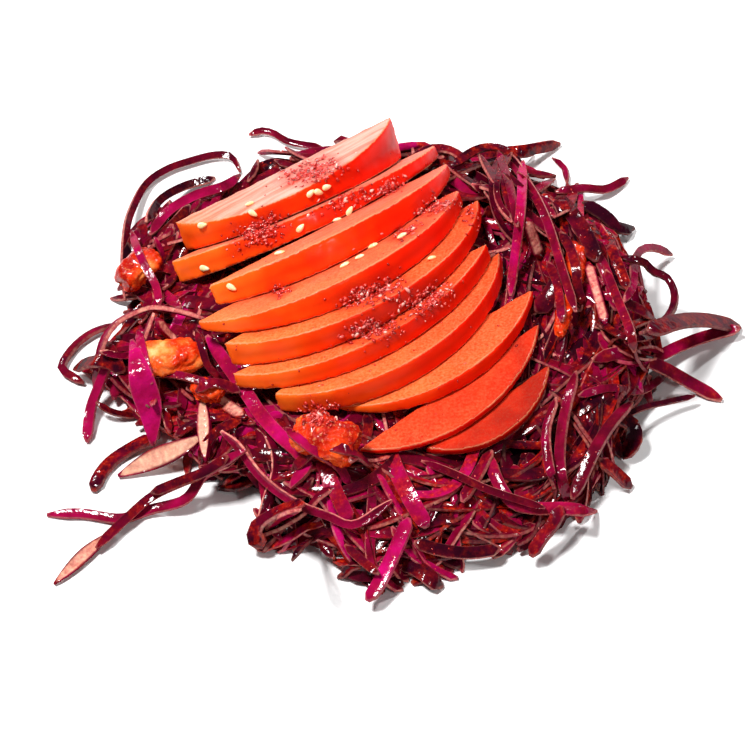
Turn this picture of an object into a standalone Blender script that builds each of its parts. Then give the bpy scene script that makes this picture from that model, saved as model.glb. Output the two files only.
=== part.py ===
"""Heap of dressed red cabbage with half a tomato, sliced and fanned over its top.

Millimetres in the values below, metres in the scene, +Z up, the heap resting on z = 0.
Each tomato slice is cut by its own knife plane and lies flush on the plane of the slice in
front of it. The cabbage heap is then raised under them all with a small gap.
"""
import math

import bmesh
import bpy
from mathutils import Matrix, Vector, noise
from mathutils.bvhtree import BVHTree

MM = 0.001
GAP = 0.3                    # air left between two tomato slices
FAR = 200.0                  # beyond every piece
TINY = 0.001

# Tomato: a squarish ball whose long side is turned a little against its flat halving cut
TOMATO_FLAT = 0.79           # short radius across each slice, as a share of the long one
TOMATO_TURN = 11.0           # long side against the halving cut, degrees
TOMATO_HALF_LENGTH = 31.5    # along the slicing axis
TOMATO_POWER = 2.3           # 2 is an ellipsoid, more is squarer
TOMATO_SPOKES = 56
TOMATO_RINGS = 28
LOWEST_SLICE_HEIGHT = 14.8   # front rim of the last slice above the table

# Each slice from the back: upper front rim's x and y, yaw, lean, thickness at the rim, long
# radius, halving cut's share of that radius in front of the middle, its turn
SLICES = (
    (-11.0, 49.0, 39.5, 29.5, 6.6, 35.5, 0.28, -10.0),
    (-7.8, 43.5, 31.9, 43.0, 4.6, 44.5, 0.34, 0.0),
    (-2.8, 28.8, 34.8, 42.5, 6.5, 42.4, 0.35, 4.0),
    (2.6, 16.3, 37.5, 33.9, 6.2, 41.7, 0.28, -7.0),
    (7.9, 9.7, 37.7, 25.0, 5.3, 43.4, 0.31, 0.0),
    (13.5, 7.9, 42.2, 23.8, 5.5, 46.1, 0.46, -12.0),
    (16.8, 0.7, 42.7, 19.5, 5.8, 40.9, 0.36, -4.0),
    (27.4, -0.6, 45.7, 16.4, 3.9, 36.8, 0.42, -12.0),
    (31.0, -8.3, 51.8, 7.6, 2.0, 38.7, 0.50, -11.0),
    (35.4, -14.8, 55.2, 5.2, 2.2, 24.9, 0.45, -16.0),
)

# Loose tomato pieces are cut from a ball a little larger than they are
PIECE_SPOKES = 20
PIECE_RINGS = 12
BALL_SHARES = (1.15, 1.2, 1.5)           # ball's size along each axis, in sizes of the piece
PIECE_BELOW = 0.3            # flat underside below the middle, in heights of the piece
PIECE_END = 0.45             # square end from the middle, in lengths of the piece
# Each piece: name, x, y, height of the middle, length, width, height, turn, tilt
PIECES = (
    ("tomato_piece_left", -54.5, -1.5, 13.0, 18.0, 10.5, 8.0, 12.0, 20.0),
    ("tomato_piece_small", -44.5, -12.0, 13.0, 10.0, 6.5, 6.0, -25.0, 15.0),
    ("tomato_piece_front", -15.5, -33.0, 21.0, 18.0, 12.0, 9.0, -20.0, 25.0),
    ("tomato_piece_back", -64.5, 30.5, 10.5, 14.0, 9.0, 8.0, 55.0, 25.0),
    ("tomato_piece_right", 45.5, 22.0, 22.0, 15.0, 5.5, 5.0, 95.0, 20.0),
    ("tomato_piece_tip", 41.5, 6.0, 20.0, 14.0, 5.0, 4.5, 75.0, 15.0),
)

# Heap: mounds on a lobed outline, with spurs where single shreds lie further out
HEAP_CENTRE = (-1.0, 11.0)
HEAP_RADIUS = 64.0
HEAP_THICKNESS = 3.0         # least thickness, out along the spurs
MOUND_POWER = 2.6            # 2 is a dome, more has a flatter top
# Mounds that merge into the heap: x, y, height, radius
MOUNDS = (
    (4.0, 14.0, 33.0, 66.0), (-48.0, 30.0, 18.0, 32.0), (44.0, 16.0, 21.0, 32.0),
    (8.0, 55.0, 19.0, 30.0), (-12.0, -36.0, 17.0, 27.0),
)
HEAP_SPOKES = 120
HEAP_RINGS = 20
HEAP_CELL = 7.0              # a little more than the widest face of the round heap's top
HEAP_LOBES = 2.5             # how far the outline wanders in and out
HEAP_RELIEF = 4.0            # how far the top wanders up and down
HEAP_RELIEF_SIZE = 13.0
RELIEF_ROUGHNESS = 0.8       # more makes the finer wander weaker
LOBE_SCALE = 2.1             # wide lobes of the outline
RIPPLE_SCALE = 7.0           # finer ones
CLEARANCE = 0.6              # air between the heap and what lies on it
CLEARANCE_STEPS = 24         # directions in which that is measured
CLEARANCE_SHARES = (0.25, 0.5, 0.75, 1.0)
RIM_SHARE = 0.999            # further out the heap is at table height
# Spurs: direction in degrees, on a spoke, reach, half width in degrees
SPURS = (
    (6.0, 89.0, 3.0), (-12.0, 84.0, 3.0), (18.0, 77.0, 6.0), (36.0, 78.0, 6.0),
    (51.0, 74.0, 8.0), (81.0, 73.0, 12.0), (99.0, 72.0, 10.0), (117.0, 79.0, 5.0),
    (132.0, 74.0, 8.0), (156.0, 74.0, 6.0), (177.0, 71.0, 5.0), (186.0, 82.0, 4.0),
    (201.0, 80.0, 4.0), (213.0, 98.0, 3.0), (222.0, 105.0, 3.0), (243.0, 69.0, 6.0),
    (267.0, 77.0, 4.0), (279.0, 74.0, 4.0), (297.0, 73.0, 4.0), (318.0, 72.0, 6.0),
)

WET_ROUGHNESS = 0.3
SKIN_ROUGHNESS = 0.25
CABBAGE_COLOUR = (0.16, 0.006, 0.045)
TOMATO_COLOUR = (0.72, 0.045, 0.006)
PIECE_COLOUR = (0.68, 0.10, 0.02)


def clear_scene():
    """Remove whatever the scene holds."""
    for obj in list(bpy.data.objects):
        bpy.data.objects.remove(obj, do_unlink=True)


def new_collection(name, helpers=False):
    """Add a collection, hidden from renders if it holds helpers."""
    collection = bpy.data.collections.new(name)
    bpy.context.scene.collection.children.link(collection)
    collection.hide_render = helpers
    return collection


def new_material(name, colour, roughness):
    """Add a Principled material of one colour."""
    material = bpy.data.materials.new(name)
    material.use_nodes = True
    shader = material.node_tree.nodes["Principled BSDF"]
    shader.inputs["Base Color"].default_value = (*colour, 1.0)
    shader.inputs["Roughness"].default_value = roughness
    shader.inputs["Metallic"].default_value = 0.0
    return material


def add_object(name, bm, collection, material=None):
    """Turn a bmesh in millimetres into an object in metres."""
    bmesh.ops.scale(bm, vec=(MM, MM, MM), verts=bm.verts)
    mesh = bpy.data.meshes.new(name)
    bm.to_mesh(mesh)
    bm.free()
    for polygon in mesh.polygons:
        polygon.use_smooth = True
    obj = bpy.data.objects.new(name, mesh)
    if material:
        mesh.materials.append(material)
    collection.objects.link(obj)
    return obj


def cut_with_box(obj, low, high, cutters):
    """Keep only what lies inside a box, given in the object's own axes."""
    bm = bmesh.new()
    bmesh.ops.create_cube(bm, size=1.0)
    middle = (Vector(low) + Vector(high)) / 2
    bmesh.ops.scale(bm, vec=Vector(high) - Vector(low), verts=bm.verts)
    bmesh.ops.translate(bm, vec=middle, verts=bm.verts)
    cutter = add_object(obj.name + "_cutter", bm, cutters)
    cutter.parent = obj
    cutter.display_type = "WIRE"
    cutter.hide_render = True
    boolean = obj.modifiers.new("cut", "BOOLEAN")
    boolean.operation = "INTERSECT"
    boolean.solver = "EXACT"
    boolean.object = cutter


def world_tree(obj):
    """Ray-casting tree of an object as it stands, in metres."""
    bpy.context.view_layer.update()
    evaluated = obj.evaluated_get(bpy.context.evaluated_depsgraph_get())
    mesh = evaluated.to_mesh()
    vertices = [obj.matrix_world @ v.co for v in mesh.vertices]
    tree = BVHTree.FromPolygons(vertices, [tuple(p.vertices) for p in mesh.polygons])
    evaluated.to_mesh_clear()
    return tree, vertices


def top_and_bottom(tree, x, y):
    """Heights in mm of a solid's top and underside over a point, or None beside it."""
    down = tree.ray_cast(Vector((x, y, FAR)) * MM, Vector((0, 0, -1)))[0]
    if down is None:
        return None
    up = tree.ray_cast(Vector((x, y, -FAR)) * MM, Vector((0, 0, 1)))[0]
    return down.z / MM, up.z / MM


def tomato_form(radius, middle):
    """A tomato with its slicing axis along Z and its middle at that height."""
    bm = bmesh.new()
    bmesh.ops.create_uvsphere(bm, u_segments=TOMATO_SPOKES, v_segments=TOMATO_RINGS, radius=1.0)
    for vert in bm.verts:
        flat = Vector((vert.co.x, vert.co.y, 0))
        share = min(abs(vert.co.z), 1.0)
        if flat.length > TINY:
            flat = flat.normalized() * radius * (1 - share ** TOMATO_POWER) ** (1 / TOMATO_POWER)
        height = vert.co.z * TOMATO_HALF_LENGTH + middle
        vert.co = Vector((flat.x, flat.y * TOMATO_FLAT, height))
    turned = Matrix.Rotation(math.radians(TOMATO_TURN), 3, "Z")
    bmesh.ops.rotate(bm, matrix=turned, verts=bm.verts)
    return bm


def knife_cut(bm, point, outward):
    """Cut off what lies beyond a plane and close the cut."""
    bmesh.ops.bisect_plane(bm, geom=bm.verts[:] + bm.edges[:] + bm.faces[:],
                           plane_co=point, plane_no=outward, clear_outer=True)
    bmesh.ops.remove_doubles(bm, verts=bm.verts, dist=0.01)
    bmesh.ops.holes_fill(bm, edges=[edge for edge in bm.edges if edge.is_boundary])


def slice_frames():
    """Upper front rim and turn of each slice, from the lowest up, each flush on the one below."""
    frames = []
    for x, y, yaw, lean, thickness, *_ in reversed(SLICES):
        turn = Matrix.Rotation(math.radians(yaw), 3, "Z") @ Matrix.Rotation(math.radians(-lean), 3, "X")
        rim = Vector((x, y, LOWEST_SLICE_HEIGHT))
        if frames:
            below, below_turn = frames[-1]
            up = below_turn.col[2]
            rim.z = below.z
            rim.z += (thickness + GAP - up.dot(rim - below)) / up.z
        frames.append((rim, turn))
    return frames


def tomato_slice(number, frames, collection, material):
    """One slice: what the knife leaves of the tomato between its own plane and those below."""
    thickness, radius, base_share, base_turn = SLICES[number - 1][4:]
    rim, turn = frames[-1]
    # own axes: X along the halving cut, -Y to the front rim, Z out of the upper cut face
    bm = tomato_form(radius, -thickness / 2)
    knife_cut(bm, (0, 0, 0), (0, 0, 1))
    outward = Vector((-math.sin(math.radians(base_turn)), math.cos(math.radians(base_turn)), 0))
    knife_cut(bm, outward * (-base_share * radius), outward)
    turned = math.radians(TOMATO_TURN)
    short = TOMATO_FLAT * radius
    middle = Vector((-short * math.sin(turned), short * math.cos(turned), 0))
    bmesh.ops.translate(bm, vec=middle, verts=bm.verts)
    for below, below_turn in frames[:-1]:
        up = turn.inverted() @ below_turn.col[2]
        knife_cut(bm, turn.inverted() @ (below - rim) + up * GAP, -up)
    if len(frames) == 1:
        knife_cut(bm, (0, 0, -thickness), (0, 0, -1))
    bmesh.ops.recalc_face_normals(bm, faces=bm.faces)
    obj = add_object(f"tomato_slice_{number:02d}", bm, collection, material)
    obj.rotation_euler = turn.to_euler()
    obj.location = rim * MM
    return obj


def tomato_fan(collection, material):
    """All slices, from the lowest up."""
    frames = slice_frames()
    trees = []
    for count in range(1, len(SLICES) + 1):
        number = len(SLICES) + 1 - count
        obj = tomato_slice(number, frames[:count], collection, material)
        trees.append(world_tree(obj)[0])
    return trees


def tomato_piece(row, collection, cutters, material):
    """A loose cut piece: rounded skin side up, three flat cut sides."""
    name, x, y, z, length, width, height, turn, tilt = row
    bm = bmesh.new()
    bmesh.ops.create_uvsphere(bm, u_segments=PIECE_SPOKES, v_segments=PIECE_RINGS, radius=0.5)
    bmesh.ops.scale(bm, vec=(BALL_SHARES[0] * length, BALL_SHARES[1] * width, BALL_SHARES[2] * height),
                    verts=bm.verts)
    obj = add_object(name, bm, collection, material)
    low = (-length / 2, -width / 2, -height * PIECE_BELOW)
    cut_with_box(obj, low, (length * PIECE_END, width / 2, FAR), cutters)
    turned = Matrix.Rotation(math.radians(turn), 3, "Z") @ Matrix.Rotation(math.radians(tilt), 3, "X")
    obj.rotation_euler = turned.to_euler()
    obj.location = Vector((x, y, z)) * MM
    return obj


def outline_radius(angle):
    """How far the heap reaches from its centre in one direction."""
    ahead = Vector((math.cos(angle), math.sin(angle), 0))
    lobes = noise.noise(ahead * LOBE_SCALE + Vector((0, 0, 4)))
    fine = noise.noise(ahead * RIPPLE_SCALE + Vector((0, 0, 9)))
    reach = HEAP_RADIUS + HEAP_LOBES * (2 * lobes + fine)
    longest = reach
    for direction, length, half_width in SPURS:
        off = abs((math.degrees(angle) - direction + 180) % 360 - 180)
        share = max(0.0, 1 - off / (2 * half_width))
        longest = max(longest, reach + (length - reach) * share)
    return longest


def mound_height(x, y):
    """Height of the uneven heap over a point."""
    body = HEAP_THICKNESS
    for centre_x, centre_y, height, radius in MOUNDS:
        share = min(math.hypot(x - centre_x, y - centre_y) / radius, 1.0)
        body = max(body, height * (1 - share ** MOUND_POWER))
    cell = HEAP_RELIEF_SIZE
    relief = noise.fractal(Vector((x / cell, y / cell, 2.0)), RELIEF_ROUGHNESS, 2.0, 2)
    return max(body + HEAP_RELIEF * relief * min(1.0, body / HEAP_RELIEF / 2), HEAP_THICKNESS)


def underside_over(trees, x, y, reach):
    """Lowest underside of the pieces over a point and its surroundings."""
    lowest = FAR
    offsets = [(0, 0)]
    for step in range(CLEARANCE_STEPS):
        angle = math.tau * step / CLEARANCE_STEPS
        for share in CLEARANCE_SHARES:
            offsets.append((share * reach * math.cos(angle), share * reach * math.sin(angle)))
    for dx, dy in offsets:
        for tree in trees:
            hit = top_and_bottom(tree, x + dx, y + dy)
            if hit:
                lowest = min(lowest, hit[1])
    return lowest


def cabbage_heap(trees, collection, material):
    """The heap out to its uneven outline: a ball's upper half shaped into the mound."""
    bm = bmesh.new()
    bmesh.ops.create_uvsphere(bm, u_segments=HEAP_SPOKES, v_segments=2 * HEAP_RINGS, radius=1.0)
    half = bmesh.ops.bisect_plane(bm, geom=bm.verts[:] + bm.edges[:] + bm.faces[:],
                                  plane_co=(0, 0, 0), plane_no=(0, 0, -1), clear_outer=True)
    rim = [item for item in half["geom_cut"] if isinstance(item, bmesh.types.BMEdge)]
    bmesh.ops.edgeloop_fill(bm, edges=rim)
    for vert in bm.verts:
        angle = math.atan2(vert.co.y, vert.co.x)
        share = 1 - math.asin(min(1.0, max(0.0, vert.co.z))) / (math.pi / 2)
        distance = share * outline_radius(angle)
        x = HEAP_CENTRE[0] + distance * math.cos(angle)
        y = HEAP_CENTRE[1] + distance * math.sin(angle)
        z = 0.0
        if share < RIM_SHARE:
            z = mound_height(x, y)
            widest = max(outline_radius(angle + side * math.tau / HEAP_SPOKES) for side in (-1, 0, 1))
            reach = HEAP_CELL * widest / HEAP_RADIUS
            z = min(z, underside_over(trees, x, y, reach) - CLEARANCE)
        vert.co = Vector((x, y, z))
    bmesh.ops.recalc_face_normals(bm, faces=bm.faces)
    return add_object("cabbage_heap", bm, collection, material)


def main():
    clear_scene()
    salad = new_collection("spicy_cabbage_salad")
    cutters = new_collection("cutters", helpers=True)
    cabbage = new_material("dressed_cabbage", CABBAGE_COLOUR, WET_ROUGHNESS)
    tomato = new_material("tomato_slices", TOMATO_COLOUR, SKIN_ROUGHNESS)
    pieces = new_material("tomato_pieces", PIECE_COLOUR, WET_ROUGHNESS)
    trees = tomato_fan(salad, tomato)
    for row in PIECES:
        trees.append(world_tree(tomato_piece(row, salad, cutters, pieces))[0])
    cabbage_heap(trees, salad, cabbage)


main()
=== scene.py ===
# %% [markdown]
# # Dressed red cabbage with a fanned tomato
#
# A heap of finely shredded red cabbage, wet with chili dressing, carries half a tomato that was
# cut in ten slices and pushed over into a fan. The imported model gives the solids: one uneven
# heap, ten slices and six loose pieces. This script keeps their places and gives them the look
# of food: single shreds that lie on each other, tomato skin and flesh, sesame and chili.

# %% Load the solids
import math
import random

import bmesh
import bpy
import numpy as np
from mathutils import Matrix, Vector, noise
from mathutils.bvhtree import BVHTree
from mathutils.kdtree import KDTree


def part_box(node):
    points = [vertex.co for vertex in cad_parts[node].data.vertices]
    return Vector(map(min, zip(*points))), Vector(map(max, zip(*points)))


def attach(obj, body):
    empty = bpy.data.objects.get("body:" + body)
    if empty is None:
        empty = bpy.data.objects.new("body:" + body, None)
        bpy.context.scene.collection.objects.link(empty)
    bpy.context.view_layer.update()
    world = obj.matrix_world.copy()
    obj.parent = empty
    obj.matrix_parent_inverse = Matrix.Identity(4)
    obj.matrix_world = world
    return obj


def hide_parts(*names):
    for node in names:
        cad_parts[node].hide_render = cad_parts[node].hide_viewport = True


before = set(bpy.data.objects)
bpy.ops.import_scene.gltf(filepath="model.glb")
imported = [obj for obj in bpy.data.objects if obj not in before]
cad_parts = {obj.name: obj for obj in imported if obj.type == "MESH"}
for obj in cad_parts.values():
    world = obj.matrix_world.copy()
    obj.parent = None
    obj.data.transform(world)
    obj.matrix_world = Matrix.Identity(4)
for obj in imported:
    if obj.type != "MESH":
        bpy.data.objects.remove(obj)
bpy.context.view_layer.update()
MM = 0.001
UP = Vector((0.0, 0.0, 1.0))
DOWN = -UP
FAR = 200.0                     # beyond everything here, in mm
SLICES = sorted(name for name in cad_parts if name.startswith("tomato_slice"))
CHUNKS = sorted(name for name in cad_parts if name.startswith("tomato_piece"))
dice = random.Random(7)
print("solids:", len(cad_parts), "slices:", len(SLICES), "loose pieces:", len(CHUNKS))

# %% [markdown]
# ## Camera
# The salad was seen from well above the table, so the camera looks down at 50 degrees through a
# long lens, which keeps the slices' sizes true. Lengths are in millimetres until a mesh is made.
# `view_ray` turns a point of the square picture into a line from the camera, so that a shred can
# be laid where the eye expects it.

# %% Camera
PICTURE = 753                   # side of the square picture, in pixels
LENS = 115.0
SENSOR = 36.0
CAMERA_HEIGHT_ANGLE = math.radians(50.0)
CAMERA_DISTANCE = 600.0
LOOK_AT = Vector((-4.1, 3.4, 0.0))

FORWARD = Vector((0.0, math.cos(CAMERA_HEIGHT_ANGLE), -math.sin(CAMERA_HEIGHT_ANGLE)))
RIGHT = Vector((1.0, 0.0, 0.0))
EYE = LOOK_AT - FORWARD * CAMERA_DISTANCE


def view_ray(px, py):
    """Direction in which the camera sees a point of the picture."""
    across = RIGHT * (px - PICTURE / 2)
    upward = RIGHT.cross(FORWARD) * (PICTURE / 2 - py)
    return (FORWARD * (LENS / SENSOR * PICTURE) + across + upward).normalized()


def seen_at(px, py, height):
    """Point at a height above the table that the camera sees at a point of the picture."""
    ray = view_ray(px, py)
    return EYE + ray * ((height - EYE.z) / ray.z)


def in_picture(x, y, z):
    """Where the camera sees some points, in pixels of the picture."""
    offset = np.stack([np.asarray(v, float) for v in (x - EYE.x, y - EYE.y, z - EYE.z)], -1)
    scale = LENS / SENSOR * PICTURE / (offset @ np.array(FORWARD))
    px = PICTURE / 2 + offset @ np.array(RIGHT) * scale
    py = PICTURE / 2 - offset @ np.array(RIGHT.cross(FORWARD)) * scale
    return px, py


camera_data = bpy.data.cameras.new("camera")
camera_data.lens = LENS
camera_data.sensor_width = SENSOR
camera = bpy.data.objects.new("camera", camera_data)
camera.location = EYE * MM
camera.rotation_euler = FORWARD.to_track_quat("-Z", "Y").to_euler()
bpy.context.scene.collection.objects.link(camera)
bpy.context.scene.camera = camera
print("camera at", [round(v) for v in EYE], "mm")

# %% [markdown]
# ## Colours and nodes
# A hex value is what a paint chart gives, in sRGB; the renderer adds up light, so it needs linear
# numbers. One function does that turn. `add_node` makes any node and fills its properties, its
# inputs and, for a colour ramp, its stops. `new_material` starts a material with what each finish
# here begins from: values painted on the mesh, noise whose blots have a real size, and the
# numbers that are the same all over it. `feed_shader` ends it.

# %% Helpers for materials
MIX_A, MIX_B = 6, 7             # the Mix node's two colours among its inputs
MIX_OUT = 2                     # and its colour among its outputs
BLEND = {"data_type": "RGBA"}
PRODUCT = {"operation": "MULTIPLY", "use_clamp": True}
SUM = {"operation": "ADD", "use_clamp": True}
FOOD_IOR = 1.4                  # water and plant cells, with a film of oil


def hex_colour(code):
    """Linear colour of an sRGB hex value."""
    parts = [int(code[i:i + 2], 16) / 255 for i in (1, 3, 5)]
    linear = [c / 12.92 if c <= 0.04045 else ((c + 0.055) / 1.055) ** 2.4 for c in parts]
    return (*linear, 1.0)


def add_node(tree, kind, properties, inputs, output=0, stops=()):
    """Add a node and return one of its outputs.

    inputs go by name or number, or are a row in the node's own order. Each is a plain value, a
    hex colour or another node's output. stops are a colour ramp's places and hex colours.
    """
    node = tree.nodes.new("ShaderNode" + kind)
    for name, value in properties.items():
        setattr(node, name, value)
    for name, value in inputs.items() if isinstance(inputs, dict) else enumerate(inputs):
        if isinstance(value, bpy.types.NodeSocket):
            tree.links.new(value, node.inputs[name])
        else:
            node.inputs[name].default_value = hex_colour(value) if isinstance(value, str) else value
    for _ in stops[2:]:
        node.color_ramp.elements.new(0.5)
    for number, (place, code) in enumerate(stops):
        node.color_ramp.elements[number].position = place
        node.color_ramp.elements[number].color = hex_colour(code)
    return node.outputs[output]


def new_material(name, painted, grains, **fixed):
    """Start a material; returns it, its tree, its painted values and its grains.

    painted names values on the mesh's points. Each grain is a row of the size of its blots in mm,
    detail and roughness. fixed gives the shader's numbers; an underscore stands for a space.
    """
    material = bpy.data.materials.new(name)
    material.use_nodes = True
    tree = material.node_tree
    for socket, value in fixed.items():
        tree.nodes["Principled BSDF"].inputs[socket.replace("_", " ")].default_value = value
    place = add_node(tree, "TexCoord", {}, {}, "Object")
    values = [add_node(tree, "Attribute", {"attribute_name": value}, {}, "Fac")
              for value in painted]
    blots = [add_node(tree, "TexNoise", {}, {"Vector": place, "Scale": 1 / (size_mm * MM),
                                             "Detail": detail, "Roughness": roughness}, "Fac")
             for size_mm, detail, roughness in grains]
    return material, tree, values, blots


def feed_shader(tree, **sources):
    """Link outputs to the shader's sockets; an underscore stands for a space."""
    for socket, source in sources.items():
        tree.links.new(source, tree.nodes["Principled BSDF"].inputs[socket.replace("_", " ")])


# %% [markdown]
# ## Dressed cabbage
# Red cabbage leaf is a waxy purple skin over pale, juicy flesh. Cut across, each shred shows
# the dark skin on its faces and a pale pink line on its cut edges; one cut along a rib is pale on
# its faces. Vinegar turns the purple to magenta, and chili oil stains it orange-red. The mesh
# carries four painted values for that: `tone` (dark maroon to bright magenta), `cut` (skin to cut
# flesh), `pale` (how white that flesh is) and `oil`. All the gloss is in the coat, a wet film. It
# is faint but bends light strongly, so that it glints where a light stands and stays clear of
# the grey veil that a stronger, weaker-bending film takes from the white table.

# %% Cabbage material
CUT_FROM, CUT_TO = 0.44, 0.75   # painted cut values between which skin turns to flesh


def cabbage_material():
    material, tree, (tone, cut, pale, oil), (blots, fibres, patches, dents, drops) = new_material(
        "dressed_cabbage_leaf", ("tone", "cut", "pale", "oil"),
        ((6.0, 3.0, 0.5), (1.1, 3.0, 0.6), (3.5, 3.0, 0.6), (1.8, 1.0, 0.5), (1.3, 1.0, 0.5)),
        Specular_IOR_Level=0.0, Coat_Weight=0.14, Coat_Roughness=0.1, Coat_IOR=2.2,
        Subsurface_Weight=0.05, Subsurface_Scale=0.001)
    # each row is stretched from its second and third values to the last two, or else to 0..1
    uneven, white, edge, stain, rough = [add_node(tree, "MapRange", {}, row) for row in (
        (blots, 0.3, 0.7),                  # darker and lighter parts of a leaf
        (pale, 1.2, 2.0, 0.0, 0.45),        # the whitest ribs
        (cut, CUT_FROM, CUT_TO),            # skin to flesh
        (patches, 0.42, 0.6),               # where oil stays
        (blots, 0.35, 0.65, 0.2, 0.45))]    # smooth skin to rubbed skin
    toned, uneven, edge, oily, fine_dents, wide_dents = [
        add_node(tree, "Math", PRODUCT, row) for row in (
            (tone, 0.8), (uneven, 0.3), (edge, pale), (oil, stain), (fibres, 0.4), (dents, 0.6))]
    tone = add_node(tree, "Math", SUM, (toned, uneven))
    # the near-black bottom of this ramp, which the low layers use, is painted shade in the gaps
    leaf = add_node(tree, "ValToRGB", {}, (tone,), stops=(
        (0.0, "#0A0106"), (0.3, "#2C0212"), (0.55, "#60041E"), (0.8, "#94053C"), (1.0, "#B80860")))
    flesh = add_node(tree, "ValToRGB", {}, (fibres,), stops=(
        (0.3, "#B84450"), (0.5, "#D87C74"), (0.7, "#EAAC92")))
    flesh = add_node(tree, "Mix", BLEND, {0: white, MIX_A: flesh, MIX_B: "#E8CCA4"}, MIX_OUT)
    chili_oil = add_node(tree, "ValToRGB", {}, (fibres,), stops=(
        (0.35, "#6E0804"), (0.55, "#A81606"), (0.7, "#D8400E")))
    oily = add_node(tree, "Math", PRODUCT, (oily, 0.85))
    colour = leaf
    for share, over in ((edge, flesh), (oily, chili_oil)):      # each covers the one before
        colour = add_node(tree, "Mix", BLEND, {0: share, MIX_A: colour, MIX_B: over}, MIX_OUT)
    wet = add_node(tree, "Math", SUM, (fine_dents, wide_dents))
    wet_share, drop_share = [add_node(tree, "Math", PRODUCT, row)
                             for row in ((wet, 0.6), (drops, 0.4))]
    film = add_node(tree, "Math", SUM, (wet_share, drop_share))
    leaf_relief, film_relief = [
        add_node(tree, "Bump", {}, {"Height": height, "Distance": depth_mm * MM})
        for height, depth_mm in ((wet, 0.5), (film, 0.22))]
    feed_shader(tree, Base_Color=colour, Roughness=rough, Normal=leaf_relief,
                Coat_Normal=film_relief)
    return material


CABBAGE = cabbage_material()
print("cabbage: pale from cut value", CUT_FROM, "to", CUT_TO)

# %% [markdown]
# ## Tomato slices
# A slice's rim is smooth, glossy skin; its faces are wet, fine-grained flesh. The painted value
# `rim` is the distance in millimetres from the knife's edge: above zero it is skin, below zero
# flesh. That gives a crisp, thin pale line along the edge, a painted highlight, however coarse the
# mesh is; away from the edge the skin is painted darker red as shade. `ripe` goes from the orange
# left end to the red right end, and is raised on the two front slices, partly as painted shade.
# A third value marks faces that are pale pink with long streaks, and `sauce` where chili has
# stained.

# %% Tomato material
FAN_HEADING = math.radians(36.0)        # way the slices' long cuts run
STREAK_SIZE = 1.6                       # mm across a streak
STREAK_STRETCH = 9.0                    # how many times longer than wide


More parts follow.
